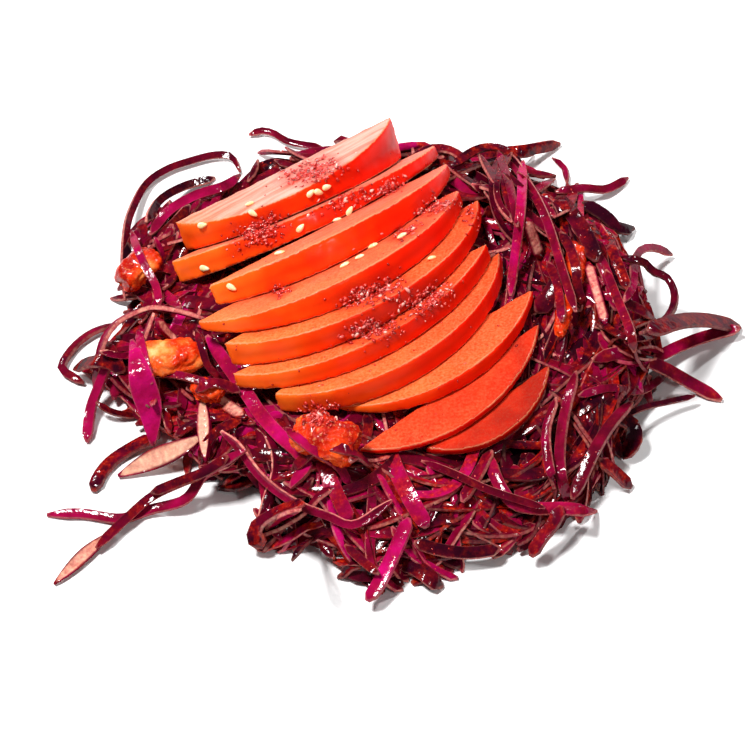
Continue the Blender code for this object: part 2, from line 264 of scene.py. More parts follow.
def tomato_material():
    material, tree, (rim, ripe, faded, sauce), (fine, cloud) = new_material(
        "tomato_skin_and_flesh_painted_light", ("rim", "ripe", "faded", "sauce"),
        ((0.65, 3.0, 0.6), (9.0, 2.0, 0.5)),
        IOR=FOOD_IOR, Specular_IOR_Level=0.1, Coat_Weight=0.03, Coat_Roughness=0.15,
        Coat_IOR=2.0, Subsurface_Weight=0.12, Subsurface_Scale=0.0015)
    shift, skin_shade, is_skin, highlight_from_flesh, highlight_from_skin = [
        add_node(tree, "MapRange", {}, row) for row in (
            (cloud, 0.3, 0.7, -0.08, 0.08),     # some parts ripen before others
            (rim, 1.5, 5.0, 0.0, 0.6),          # painted shade: skin darker red away from the cut
            (rim, -0.15, 0.15),                 # flesh to skin
            (rim, -0.5, -0.1),                  # the painted highlight at the cut, from the flesh
            (rim, 0.4, 0.05))]                  # and from the skin
    light_grain, unripe, dark_grain, sauce_grain, depth, clouded = [
        add_node(tree, "MapRange", {}, row) for row in (
            (fine, 0.4, 0.72),                  # pale cells of the flesh,
            (ripe, 0.6, 0.95, 0.4, 0.08),       # fewer where it is ripe
            (fine, 0.5, 0.3, 0.0, 0.35),        # dark cells
            (fine, 0.3, 0.6, 0.5, 1.0),         # sauce gathers on the raised ones
            (rim, -3.0, -10.0, 0.0, 0.35),      # the redder middle of a face
            (cloud, 0.4, 0.7, 0.0, 0.15))]
    rough, skin_grain = [add_node(tree, "MapRange", {}, (is_skin, 0.0, 1.0, on_flesh, on_skin))
                         for on_flesh, on_skin in ((0.5, 0.36), (1.0, 0.1))]
    speckle, streaked, line, stained, relief = [add_node(tree, "Math", PRODUCT, row) for row in (
        (light_grain, unripe), (faded, 0.9), (highlight_from_flesh, highlight_from_skin), (sauce, sauce_grain),
        (fine, skin_grain))]
    line = add_node(tree, "Math", PRODUCT, (line, 0.75))
    ripeness_and_shade, inner = [add_node(tree, "Math", SUM, row)
                       for row in ((ripe, shift), (depth, clouded))]
    place = add_node(tree, "TexCoord", {}, {}, "Object")
    turned = add_node(tree, "Mapping", {}, {"Vector": place, "Rotation": (0.0, 0.0, -FAN_HEADING)})
    drawn = add_node(tree, "Mapping", {},
                     {"Vector": turned, "Scale": (1 / STREAK_STRETCH, 1.0, 1.0)})
    streaks = add_node(tree, "TexNoise", {}, {"Vector": drawn, "Scale": 1 / (STREAK_SIZE * MM),
                                              "Detail": 2.0, "Roughness": 0.5}, "Fac")
    skin, flesh, streak_colour = [
        add_node(tree, "ValToRGB", {}, (source,), stops=stops) for source, stops in (
            (ripeness_and_shade, ((0.0, "#FB6E1C"), (0.25, "#FA4608"), (0.5, "#F82402"),
                        (0.75, "#EE1202"), (1.0, "#A80A02"))),
            # the flesh's darkest reds, which the two front slices reach, are partly painted shade
            (ripeness_and_shade, ((0.0, "#EC7432"), (0.4, "#EC5C28"), (0.72, "#E6461E"),
                        (0.86, "#D42A0C"), (1.0, "#960A04"))),
            (streaks, ((0.3, "#CC7866"), (0.45, "#D89484"), (0.6, "#E2AE9E"))))]
    # painted shade: the skin turns darker red away from the cut
    skin = add_node(tree, "Mix", BLEND, {0: skin_shade, MIX_A: skin, MIX_B: "#A00A02"}, MIX_OUT)
    colour = flesh                          # each of these covers the ones before
    for share, over in ((speckle, "#F8986A"), (dark_grain, "#C22A10"), (inner, "#D83A18"),
                        # the pale line is a painted highlight along the cut edge
                        (streaked, streak_colour), (is_skin, skin), (line, "#FFA878"),
                        (stained, "#BC1A0C")):
        colour = add_node(tree, "Mix", BLEND, {0: share, MIX_A: colour, MIX_B: over}, MIX_OUT)
    bump = add_node(tree, "Bump", {}, {"Height": relief, "Distance": 0.3 * MM})
    feed_shader(tree, Base_Color=colour, Roughness=rough, Normal=bump)
    return material


TOMATO = tomato_material()
print("tomato: streaks of", STREAK_SIZE, "by", STREAK_SIZE * STREAK_STRETCH, "mm")

# %% [markdown]
# ## Pulp, seeds, flakes and the core in painted shade
# The loose tomato pieces show wet pulp: red-orange flesh with golden jelly. Sesame is cream with
# a hint of tan. The chili is coarse, dark red skin bits; the pinkish ones are painted glints.
# Deep inside the heap the core is painted near-black as shade over wet cabbage.

# %% Other materials
def pulp_material():
    material, tree, (jelly,), (cloud, fine) = new_material(
        "tomato_pulp", ("jelly",), ((5.0, 3.0, 0.6), (0.9, 3.0, 0.6)),
        IOR=FOOD_IOR, Roughness=0.25, Specular_IOR_Level=0.15, Coat_Weight=0.4,
        Coat_Roughness=0.08, Coat_IOR=1.4, Subsurface_Weight=0.15, Subsurface_Scale=0.002)
    shift, specks = [add_node(tree, "MapRange", {}, row) for row in (
        (jelly, 0.0, 1.0, -0.25, 0.25), (fine, 0.58, 0.7, 0.0, 0.4))]
    mixed = add_node(tree, "Math", SUM, (cloud, shift))
    colour = add_node(tree, "ValToRGB", {}, (mixed,), stops=(
        (0.2, "#A41004"), (0.4, "#E03208"), (0.58, "#F25C1C"), (0.74, "#F28E46"), (0.9, "#F4BC7C")))
    colour = add_node(tree, "Mix", BLEND, {0: specks, MIX_A: colour, MIX_B: "#F8A868"}, MIX_OUT)
    bump = add_node(tree, "Bump", {}, {"Height": fine, "Distance": 0.35 * MM})
    feed_shader(tree, Base_Color=colour, Normal=bump)
    return material


def sesame_material():
    material, tree, _, (mottle,) = new_material(
        "hulled_sesame", (), ((1.5, 2.0, 0.5),), IOR=1.45, Roughness=0.35, Coat_Weight=0.4,
        Coat_Roughness=0.1, Subsurface_Weight=0.2, Subsurface_Scale=0.001)
    feed_shader(tree, Base_Color=add_node(tree, "ValToRGB", {}, (mottle,), stops=(
        (0.3, "#ECCB86"), (0.5, "#F8E2A8"), (0.7, "#FFF2CC"))))
    return material


def chili_material():
    material, tree, (tone,), _ = new_material(
        "crushed_chili_painted_glints", ("tone",), (), IOR=1.5, Roughness=0.22, Coat_Weight=0.7,
        Coat_Roughness=0.06)
    # painted glint: the pink and pale top of the ramp stands for flakes that glisten
    feed_shader(tree, Base_Color=add_node(tree, "ValToRGB", {}, (tone,), stops=(
        (0.0, "#8C0E0A"), (0.35, "#C41A12"), (0.65, "#E03C2E"), (0.85, "#EC7670"),
        (1.0, "#F8BCAC"))))
    return material


def painted_shade_core_material():
    material, tree, _, (blots,) = new_material(
        "core_painted_shade", (), ((4.0, 4.0, 0.6),), Roughness=0.5, Specular_IOR_Level=0.0,
        Coat_Weight=0.06, Coat_Roughness=0.15, Coat_IOR=2.0)
    # painted shade: near-black, so that the core reads as the shade in the gaps between shreds
    colour = add_node(tree, "ValToRGB", {}, (blots,), stops=(
        (0.35, "#050103"), (0.55, "#120206"), (0.75, "#2C040C")))
    bump = add_node(tree, "Bump", {}, {"Height": blots, "Distance": 1.0 * MM})
    feed_shader(tree, Base_Color=colour, Normal=bump)
    return material


PULP, SESAME, CHILI, CORE_SHADE = pulp_material(), sesame_material(), chili_material(), painted_shade_core_material()
print("materials:", [material.name for material in (CABBAGE, TOMATO, PULP, SESAME, CHILI, CORE_SHADE)])

# %% [markdown]
# ## Meshes from numbers
# Everything scattered is one joined mesh a kind, since thousands of objects would slow the scene
# down. A `Bank` gathers points, faces and painted values from many small items, and turns them
# into one object at the end. The other helpers copy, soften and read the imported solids.

# %% Mesh helpers
SECTION = 8                     # points round a shred; the odd ones are its corners


class Bank:
    """Points, faces and painted values of many small items, for one joined mesh."""

    def __init__(self, *values):
        self.points = []
        self.faces = []
        self.values = {name: [] for name in values}
        self.count = 0

    def add(self, points, faces, **values):
        """Add one item: points as rows in mm, faces as rows of point numbers."""
        self.points.append(points)
        self.faces.extend([tuple(int(i) + self.count for i in face) for face in faces])
        for name, value in values.items():
            self.values[name].append(np.broadcast_to(np.asarray(value, float), (len(points),)))
        self.count += len(points)

    def build(self, name, material, crisp=False):
        """One object from everything gathered; crisp keeps a shred's four corners sharp."""
        points = np.concatenate(self.points) * MM
        mesh = bpy.data.meshes.new(name)
        mesh.from_pydata(points.tolist(), [], self.faces)
        if crisp:
            ends = np.empty(len(mesh.edges) * 2, int)
            mesh.edges.foreach_get("vertices", ends)
            first, second = ends.reshape(-1, 2).T % SECTION
            sharp = mesh.attributes.new("sharp_edge", "BOOLEAN", "EDGE")
            sharp.data.foreach_set("value", (first == second) & (first % 2 == 1))
        for value_name, rows in self.values.items():
            paint(mesh, value_name, np.concatenate(rows))
        return finish_piece(name, mesh, material)


def paint(mesh, name, values):
    """Store one value for each point of a mesh."""
    layer = mesh.attributes.new(name, "FLOAT", "POINT")
    layer.data.foreach_set("value", np.asarray(values, np.float32))


def finish_piece(name, mesh, material):
    """Smooth-shade a mesh, give it its material and let it ride on the salad's body."""
    mesh.polygons.foreach_set("use_smooth", [True] * len(mesh.polygons))
    mesh.materials.clear()
    mesh.materials.append(material)
    mesh.update()
    obj = bpy.data.objects.new(name, mesh)
    bpy.context.scene.collection.objects.link(obj)
    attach(obj, "root")
    return obj


def welded_copy(node):
    """A copy of a solid's mesh with its points joined up."""
    bm = bmesh.new()
    bm.from_mesh(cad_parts[node].data)
    bmesh.ops.remove_doubles(bm, verts=bm.verts, dist=0.01 * MM)
    mesh = bpy.data.meshes.new(node + "_copy")
    bm.to_mesh(mesh)
    bm.free()
    return mesh


def remeshed(mesh, voxel_mm, smooth_steps):
    """Even, softened skin over a closed mesh."""
    helper = bpy.data.objects.new("remesh_helper", mesh)
    bpy.context.scene.collection.objects.link(helper)
    remesh = helper.modifiers.new("even", "REMESH")
    remesh.mode = "VOXEL"
    remesh.voxel_size = voxel_mm * MM
    soften = helper.modifiers.new("soften", "SMOOTH")
    soften.factor = 0.5
    soften.iterations = smooth_steps
    graph = bpy.context.evaluated_depsgraph_get()
    result = bpy.data.meshes.new_from_object(helper.evaluated_get(graph))
    bpy.data.objects.remove(helper)
    return result


def points_of(mesh):
    """A mesh's points in mm."""
    flat = np.empty(len(mesh.vertices) * 3)
    mesh.vertices.foreach_get("co", flat)
    return flat.reshape(-1, 3) / MM


def set_points(mesh, points):
    """Put a mesh's points, given in mm."""
    mesh.vertices.foreach_set("co", (points * MM).ravel())
    mesh.update()


def taken_from(bm):
    """Points and faces of a working mesh, which is then freed."""
    points = np.array([v.co[:] for v in bm.verts])
    faces = [tuple(v.index for v in f.verts) for f in bm.faces]
    bm.free()
    return points, faces


def nearest_tree(spots):
    """Tree that finds which of some spots are nearest to a place."""
    tree = KDTree(len(spots))
    for number, spot in enumerate(spots):
        tree.insert(spot, number)
    tree.balance()
    return tree


def tree_of(meshes):
    """Ray-casting tree of several meshes, in mm."""
    points, faces = [], []
    for mesh in meshes:
        start = len(points)
        points.extend((v.co / MM).to_tuple() for v in mesh.vertices)
        faces.extend(tuple(i + start for i in p.vertices) for p in mesh.polygons)
    return BVHTree.FromPolygons(points, faces)


copies = {name: welded_copy(name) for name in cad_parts}
heap_tree = tree_of([copies["cabbage_heap"]])
topping_tree = tree_of([copies[name] for name in SLICES + CHUNKS])
print("heap points:", len(copies["cabbage_heap"].vertices))

# %% [markdown]
# ## Height maps
# A heap of shreds is built like the real one, by dropping one shred after another. A simulation
# of falling strips would do it too, but it takes long and is hard to steer. Instead the script
# keeps a map of heights over the table, to know where a shred comes to rest. `surface` starts as
# the core, painted dark as shade, and rises with each shred. `ceiling` is the underside of the
# tomato, which no shred may pass. `outline` is the imported heap, which says how high shreds may
# go. `body` is the part of it that is filled with shreds rather than crossed by a single one: its
# edge is drawn as the camera sees it, and a cell of the map lies within it when its top is seen
# inside that edge.

# %% Height maps
CELL = 0.8                      # mm
MARGIN = 14.0
heap_low, heap_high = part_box("cabbage_heap")
MAP_X = heap_low.x / MM - MARGIN
MAP_Y = heap_low.y / MM - MARGIN
COLUMNS = int((heap_high.x / MM + MARGIN - MAP_X) / CELL)
ROWS = int((heap_high.y / MM + MARGIN - MAP_Y) / CELL)


def height_map(tree, from_below=False, missing=0.0):
    """Heights of a solid over each cell of the table."""
    heights = np.full((ROWS, COLUMNS), missing)
    start = -1.0 if from_below else FAR
    direction = UP if from_below else DOWN
    for row in range(ROWS):
        for column in range(COLUMNS):
            spot = (MAP_X + (column + 0.5) * CELL, MAP_Y + (row + 0.5) * CELL, start)
            hit = tree.ray_cast(Vector(spot), direction)[0]
            if hit is not None:
                heights[row, column] = hit.z
    return heights


def cells(x, y):
    """Row and column of the map's cells under some points."""
    column = np.clip(((np.asarray(x) - MAP_X) / CELL).astype(int), 0, COLUMNS - 1)
    row = np.clip(((np.asarray(y) - MAP_Y) / CELL).astype(int), 0, ROWS - 1)
    return row, column


outline = height_map(heap_tree)
ceiling = height_map(topping_tree, from_below=True, missing=FAR)
topping = height_map(topping_tree, missing=-1.0)
covered = topping > 0

# The body's edge in pixels of the picture; single shreds reach further out
BODY_EDGE = (
    (126, 240), (148, 208), (185, 184), (240, 172), (300, 150), (360, 110), (430, 130), (440, 148),
    (520, 148), (556, 158), (585, 192), (612, 215), (618, 240), (632, 268), (646, 308), (664, 330),
    (664, 352), (648, 372), (640, 396), (626, 420), (616, 452), (600, 474), (588, 500), (560, 524),
    (530, 542), (490, 548), (445, 572), (400, 582), (370, 586), (345, 560), (300, 555), (266, 545),
    (258, 522), (272, 500), (244, 484), (205, 468), (172, 440), (140, 420), (105, 398), (90, 372),
    (100, 340), (124, 308), (120, 270),
)
RIM_BACK = 0.85                 # share of the heap's height at which its far edge is seen
RIM_FRONT = 0.4                 # and its near edge, which slopes down to the table
RIM_RANGE = (-20.0, 20.0)       # mm from front to back over which the one turns into the other
LEAST_HEAP = 1.0                # mm; lower cells are table


def within_edge(px, py):
    """Whether some points of the picture lie within the body's edge."""
    inside = np.zeros(px.shape, bool)
    for (ax, ay), (bx, by) in zip(BODY_EDGE, BODY_EDGE[1:] + BODY_EDGE[:1]):
        if ay != by:
            crossing = ax + (py - ay) * (bx - ax) / (by - ay)
            inside ^= ((py < ay) != (py < by)) & (px < crossing)
    return inside


cell_x, cell_y = np.meshgrid(MAP_X + (np.arange(COLUMNS) + 0.5) * CELL,
                             MAP_Y + (np.arange(ROWS) + 0.5) * CELL)
rim_share = np.interp(cell_y, RIM_RANGE, (RIM_FRONT, RIM_BACK))
body = within_edge(*in_picture(cell_x, cell_y, outline * rim_share)) & (outline > LEAST_HEAP)
print("map:", ROWS, "x", COLUMNS, "cells; heap top", round(float(outline.max()), 1), "mm; body",
      round(float(body.sum()) * CELL ** 2 / 100), "cm2")

# %% [markdown]
# ## Core
# Under the loose shreds lies a smaller body, painted near-black as shade, that closes the view
# into the heap. It is the packed heap, lowered where it is open to the sky and kept high under the
# tomato, with a rough relief so that it never shows as a smooth dome.

# %% Core
CORE_OPEN = 0.5                 # core height as a share of the heap, where shreds lie on it
CORE_COVERED = 0.8              # and under the tomato
CORE_WIDTH = 0.86               # share of the heap's width
CORE_REACH = 62.0               # mm from the middle; leaves out the spurs
CORE_RELIEF = 1.6               # height of its bumps, mm
CORE_RELIEF_SIZE = 5.0          # and their width
COVER_BLUR = 8.0                # mm


def near_cover(reach_mm):
    """Share of tomato overhead, blurred over a distance."""
    share = covered.astype(float)
    for _ in range(int(reach_mm / CELL)):
        share = (share + np.roll(share, 1, 0) + np.roll(share, -1, 0)
                 + np.roll(share, 1, 1) + np.roll(share, -1, 1)) / 5
    return share


cover_share = near_cover(COVER_BLUR)


def build_core():
    """The body under the shreds, painted near-black as shade."""
    bm = bmesh.new()
    bm.from_mesh(copies["cabbage_heap"])
    bmesh.ops.subdivide_edges(bm, edges=bm.edges[:], cuts=1, use_grid_fill=True)
    mesh = bpy.data.meshes.new("cabbage_core")
    bm.to_mesh(mesh)
    bm.free()
    points = points_of(mesh)
    middle = points.mean(axis=0)
    row, column = cells(points[:, 0], points[:, 1])
    share = CORE_OPEN + (CORE_COVERED - CORE_OPEN) * cover_share[row, column]
    for point, factor in zip(points, share):
        bumps = noise.fractal(Vector(point / CORE_RELIEF_SIZE), 0.8, 2.0, 3)
        point[2] = max(0.0, point[2] * factor + (CORE_RELIEF * bumps if point[2] > 1 else 0.0))
    offset = points[:, :2] - middle[:2]
    distance = np.linalg.norm(offset, axis=1)[:, None] + 0.01
    points[:, :2] = middle[:2] + offset * CORE_WIDTH * np.minimum(1.0, CORE_REACH / distance)
    set_points(mesh, points)
    core = finish_piece("cabbage_core", mesh, CORE_SHADE)
    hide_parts("cabbage_heap")
    return core


core = build_core()
surface = height_map(tree_of([core.data]))
print("core top", round(float(surface.max()), 1), "mm")

# %% [markdown]
# ## One shred
# A shred is a thin strip cut from a curled leaf: flat or cupped across, twisted along its
# length, thinner at its ends. A curve with a bevel would be quick to draw, but it can't carry a
# painted value across its section. So a shred is made of rings of eight points, swept along a
# smooth path, with the two side points painted as cut edge. `ring_frames` keeps each ring square
# to the path, and `tapered` thins the ends.

# %% Shape of a shred
RING_STEP = 1.7                 # mm between rings
CURVE_STEPS = 12                # between two given points of a path
END_CUT = 0.7                   # painted cut value of a shred's two ends
RIB_FROM = 1.15                 # pale values above this mean a shred cut along a leaf's rib
RIB_SHARE = 1.2                 # above one, so that its side points turn fully to skin
CUP_LEVEL = 0.4                 # share of the cup's depth that lies below the middle line
# the section's points as shares of half the width and half the thickness, and how much each
# counts as cut edge: one at the two sides, none in the middle of the faces
ACROSS = np.array([-1.0, -0.97, 0.0, 0.97, 1.0, 0.97, 0.0, -0.97])
THROUGH = np.array([0.0, 1.0, 1.0, 1.0, 0.0, -1.0, -1.0, -1.0])
CUT_SHARE = np.array([1.0, 0.5, 0.0, 0.5, 1.0, 0.5, 0.0, 0.5])


def smooth_path(points, step=RING_STEP):
    """Even points along a smooth curve through the given ones."""
    points = np.asarray(points, float)
    ends = np.vstack([2 * points[0] - points[1], points, 2 * points[-1] - points[-2]])
    line = []
    for a, b, c, d in zip(ends, ends[1:], ends[2:], ends[3:]):
        for t in np.linspace(0, 1, CURVE_STEPS, endpoint=False):
            line.append(0.5 * (2 * b + (c - a) * t + (2 * a - 5 * b + 4 * c - d) * t ** 2
                               + (3 * b - a - 3 * c + d) * t ** 3))
    line = np.array(line + [points[-1]])
    lengths = np.concatenate([[0], np.cumsum(np.linalg.norm(np.diff(line, axis=0), axis=1))])
    places = np.linspace(0, lengths[-1], max(4, int(lengths[-1] / step) + 1))
    return np.stack([np.interp(places, lengths, line[:, i]) for i in range(points.shape[1])], 1)


def tapered(places, end, rate):
    """Share of the full size at places from 0 to 1 along a shred, from its ends to one."""
    return np.minimum(1.0, end + rate * np.minimum(places, 1 - places))


def ring_frames(centre):
    """Sideways and upright directions at each point of a path."""
    along = np.gradient(centre, axis=0)
    along /= np.linalg.norm(along, axis=1)[:, None] + 1e-9
    side = np.cross(np.array([0.0, 0.0, 1.0]), along)
    side /= np.linalg.norm(side, axis=1)[:, None] + 1e-6
    return side, np.cross(along, side)


def add_shred(bank, centre, width, thick, roll, cup, tone, pale, oil):
    """Sweep the shred's section along a path; width, thick and roll are given at each point.

    Above RIB_FROM, pale whitens the faces and not the edges, as on a shred cut along a rib.
    """
    count = len(centre)
    side, upright = ring_frames(centre)
    across = ACROSS[None, :] * width[:, None] / 2
    lift = THROUGH[None, :] * thick[:, None] / 2
    lift = lift + cup * width[:, None] * (ACROSS[None, :] ** 2 - CUP_LEVEL)
    turned_side = across * np.cos(roll)[:, None] - lift * np.sin(roll)[:, None]
    turned_up = across * np.sin(roll)[:, None] + lift * np.cos(roll)[:, None]
    rings = (centre[:, None, :] + turned_side[:, :, None] * side[:, None, :]
             + turned_up[:, :, None] * upright[:, None, :])
    rings[:, :, 2] = np.maximum(rings[:, :, 2], 0.0)
    corners = range(SECTION)
    faces = [(ring + i, ring + (i + 1) % SECTION,
              ring + SECTION + (i + 1) % SECTION, ring + SECTION + i)
             for ring in range(0, (count - 1) * SECTION, SECTION) for i in corners]
    faces.append(tuple(reversed(corners)))
    faces.append(tuple((count - 1) * SECTION + i for i in corners))
    ends = np.zeros((count, SECTION))
    ends[0] = ends[-1] = END_CUT
    cut = np.maximum(CUT_SHARE[None, :], ends)
    if pale > RIB_FROM:
        cut = 1.0 - RIB_SHARE * cut
    bank.add(rings.reshape(-1, 3), faces, tone=tone, cut=cut.ravel(), pale=pale, oil=oil)


# %% [markdown]
# ## Laying a shred down
# A shred rests on the highest things under it and bridges the hollows between them, as a stiff
# strip does. `rest_heights` first finds the height each ring needs, then pulls the path up over
# the hollows until no ring sags more than a little below its neighbours. `press_in` keeps it
# under the tomato, and `raise_surface` adds the shred to the map for the next one.

# %% Rest a shred on the heap
SAG = 0.035                     # how much each ring may hang below its neighbours, in mm
AIR = 0.25                      # between a shred and the tomato above it
SETTLE_STEPS = 60               # rounds of bridging
SMOOTH_STEPS = 30               # rounds of easing a strip that was pressed down
FOOT = 0.4                      # share of the width, each side, that a strip stands on
TOP_SHARE = 0.8                 # share of the half height that the next strip rests on
PRESS_REACH = 2.0               # mm round a ring in which the tomato presses it down


def half_height(width, thick, roll):
    """Half the upright size of a rolled strip."""
    return (np.abs(np.sin(roll)) * width + np.abs(np.cos(roll)) * thick) / 2


def level_side(centre):
    """Level direction across a path at each of its points."""
    along = np.gradient(centre[:, :2], axis=0)
    side = np.stack([-along[:, 1], along[:, 0]], 1)
    return side / (np.linalg.norm(side, axis=1)[:, None] + 1e-9)


def foot_heights(centre, width, roll):
    """Highest surface under each ring's footprint."""
    side = level_side(centre)
    reach = np.abs(np.cos(roll)) * width * FOOT
    high = np.zeros(len(centre))
    for share in (-1.0, -0.5, 0.0, 0.5, 1.0):
        spot = centre[:, :2] + side * (reach * share)[:, None]
        high = np.maximum(high, surface[cells(spot[:, 0], spot[:, 1])])
    return high


def rest_heights(centre, width, thick, roll, limp=1.0):
    """Heights of a stiff strip that lies on the heap."""
    need = foot_heights(centre, width, roll) + half_height(width, thick, roll)
    height = need.copy()
    for _ in range(SETTLE_STEPS):
        bridge = (height[:-2] + height[2:]) / 2 - SAG * limp
        height[1:-1] = np.maximum(need[1:-1], bridge)
        height[0] = max(need[0], 2 * height[1] - height[2] - 3 * SAG * limp)
        height[-1] = max(need[-1], 2 * height[-2] - height[-3] - 3 * SAG * limp)
    return height


def press_in(centre, width, thick, roll):
    """Keep a strip under the tomato."""
    room = half_height(width, thick, roll) + AIR
    low = np.full(len(centre), FAR)
    for dx, dy in ((0, 0), (1, 0), (-1, 0), (0, 1), (0, -1)):
        spot = cells(centre[:, 0] + dx * PRESS_REACH, centre[:, 1] + dy * PRESS_REACH)
        low = np.minimum(low, ceiling[spot])
    if np.all(centre[:, 2] <= low - room):
        return
    centre[:, 2] = np.minimum(centre[:, 2], low - room)
    for _ in range(SMOOTH_STEPS):
        between = (centre[:-2, 2] + centre[2:, 2]) / 2
        centre[1:-1, 2] = np.minimum(centre[1:-1, 2], between + SAG)


def raise_surface(centre, width, thick, roll):
    """Add a laid strip to the map of heights."""
    side = level_side(centre)
    reach = np.abs(np.cos(roll)) * width / 2 + np.abs(np.sin(roll)) * thick / 2
    top = centre[:, 2] + half_height(width, thick, roll) * TOP_SHARE
    for step in (0.0, 0.5):
        here = centre[:-1, :2] * (1 - step) + centre[1:, :2] * step
        for share in np.linspace(-1, 1, 7):
            spot = here + side[:-1] * (reach[:-1] * share)[:, None]
            np.maximum.at(surface, cells(spot[:, 0], spot[:, 1]), top[:-1])


# %% [markdown]
# ## The loose shreds
# The heap's body is hundreds of shreds of different width, length, curl and colour. Each starts
# at a random open spot, wanders with its own bend and stops where the imported heap ends. On the
# right and the front they hang down the slope towards the front; elsewhere they lie anyhow. They
# are laid in three layers, and each is joined into one piece: the low ones are wide and painted
# dark as the shade in the gaps, the top ones longer, finer and brighter, with more pale cut edges.

# %% Scatter the shreds
LAYERS = (
    # name, how many, shortest and longest in mm, narrowest and widest in mm, darkest and
    # brightest tone, twice the share that is soaked in oil, palest cut edge
    # the low layers' dark tones are painted shade: they stand for the gaps under the top shreds
    ("shreds_low", 240, (35.0, 75.0), (2.2, 4.6), (0.0, 0.3), 0.2, 0.3),
    ("shreds_middle", 240, (38.0, 82.0), (1.5, 4.0), (0.0, 0.5), 0.4, 0.6),
    ("shreds_top", 200, (45.0, 92.0), (1.3, 3.6), (0.15, 1.0), 0.6, 1.1),
)
OUTSIDE_STEPS = 3               # most rings that may pass the body's edge
LOOK_AHEAD = 7.0                # a shred that would leave the heap within this turns back
TURN_IN = 0.2                   # most it can turn at a ring, radians
HEAP_MIDDLE = (-1.0, 11.0)      # mm
STEADY_BEND = 0.035             # spread of a shred's bend, radians a ring
WOBBLE = 0.05                   # most it wobbles, radians a ring
FEWEST_RINGS = 11               # a shorter shred would look like a chip
LOOSE_ENDS = (0.35, 8.0)        # share of the width at a shred's tips, and how fast it grows
THICK_TIPS = 0.2                # how much less the thickness falls off there
UNEVEN = 0.12                   # how much the width varies, as a share
THICKNESS = (0.7, 1.1)          # mm
ROLL, TWIST = 0.35, 0.7         # spread of its roll and of its twist over its length, radians
LIMPNESS = (0.7, 3.0)           # from stiff to limp
MOST_CUP = 0.35                 # deepest cup as a share of the width
LITTLE_OIL = 0.6                # most oil on a shred that isn't soaked
# a plain brightening of the tone by place, towards the left and the front
BRIGHTER_LEFT_FRONT = 0.18                  # how much brighter shreds are at the left and the front
BRIGHTEST_LEFT = 50.0               # mm left of the middle at which they are that much brighter
BRIGHTER_FROM = 10.0               # mm in front of the middle where they start to brighten
BRIGHTER_OVER = 60.0              # and over which they do
OVER = 1.0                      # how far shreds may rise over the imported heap, mm
MOST_SUNK = 9.0                 # how far a shred over it sinks back at most, mm
SINK_SHARE = 0.8
LEAST_HEIGHT = 0.4              # of a shred's middle line over the table, mm
USUAL_WIDTH = 0.25              # where between narrowest and widest most shreds are
COMBED_RIGHT = 20.0             # mm; right of this, and
COMBED_FRONT = -20.0            # in front of this, shreds tend to lie one way
RIGHT_SHARE, FRONT_SHARE = 0.85, 0.5    # and how many of them do; the ways are in degrees
RIGHT_HEADING = (-76.0, 18.0)   # on the right, at SPREAD_FROM, and how much it varies
FRONT_HEADING = (-75.0, 40.0)   # and at the front
SPREAD_FROM = 45.0              # mm; further right the shreds spread out by
SPREAD = 0.25                   # degrees a mm
MOST_COVER = 0.75               # no shred starts where more of the space overhead is tomato


def wander(x, y, heading, length):
    """Path of a shred over the table: a steady bend with some wobble."""
    steps = int(length / RING_STEP)
    bend = dice.gauss(0.0, STEADY_BEND)
    wobble = dice.uniform(0.0, 6.28)            # where its wobble starts
    beat = dice.uniform(0.15, 0.35)             # and how fast it swings, radians a ring
    path = [(x, y)]
    outside = 0
    most_outside = dice.randint(0, OUTSIDE_STEPS)
    turn_in = dice.uniform(0.0, TURN_IN)
    for step in range(steps):
        heading += bend + WOBBLE * math.sin(wobble + beat * step)
        ahead = (x + math.cos(heading) * LOOK_AHEAD, y + math.sin(heading) * LOOK_AHEAD)
        if not body[cells(*ahead)]:
            homeward = math.atan2(HEAP_MIDDLE[1] - y, HEAP_MIDDLE[0] - x)
            turn = math.remainder(homeward - heading, math.tau)
            heading += math.copysign(min(abs(turn), turn_in), turn)
        x += math.cos(heading) * RING_STEP
        y += math.sin(heading) * RING_STEP
        if not body[cells(x, y)]:
            outside += 1
            if outside > most_outside:
                break
        path.append((x, y))
    return np.array(path)


def heading_at(x, y):
    """Way a shred tends to lie: downhill to the front on the right, anyhow elsewhere."""
    if x > COMBED_RIGHT and dice.random() < RIGHT_SHARE:
        return math.radians(dice.gauss(*RIGHT_HEADING) - SPREAD * (x - SPREAD_FROM))
    if y < COMBED_FRONT and dice.random() < FRONT_SHARE:
        return math.radians(dice.gauss(*FRONT_HEADING))
    return dice.uniform(0.0, 2 * math.pi)


def open_spot():
    """A random place on the heap with no tomato close above."""
    while True:
        x = MAP_X + dice.random() * COLUMNS * CELL
        y = MAP_Y + dice.random() * ROWS * CELL
        spot = cells(x, y)
        if body[spot] and cover_share[spot] < MOST_COVER:
            return x, y


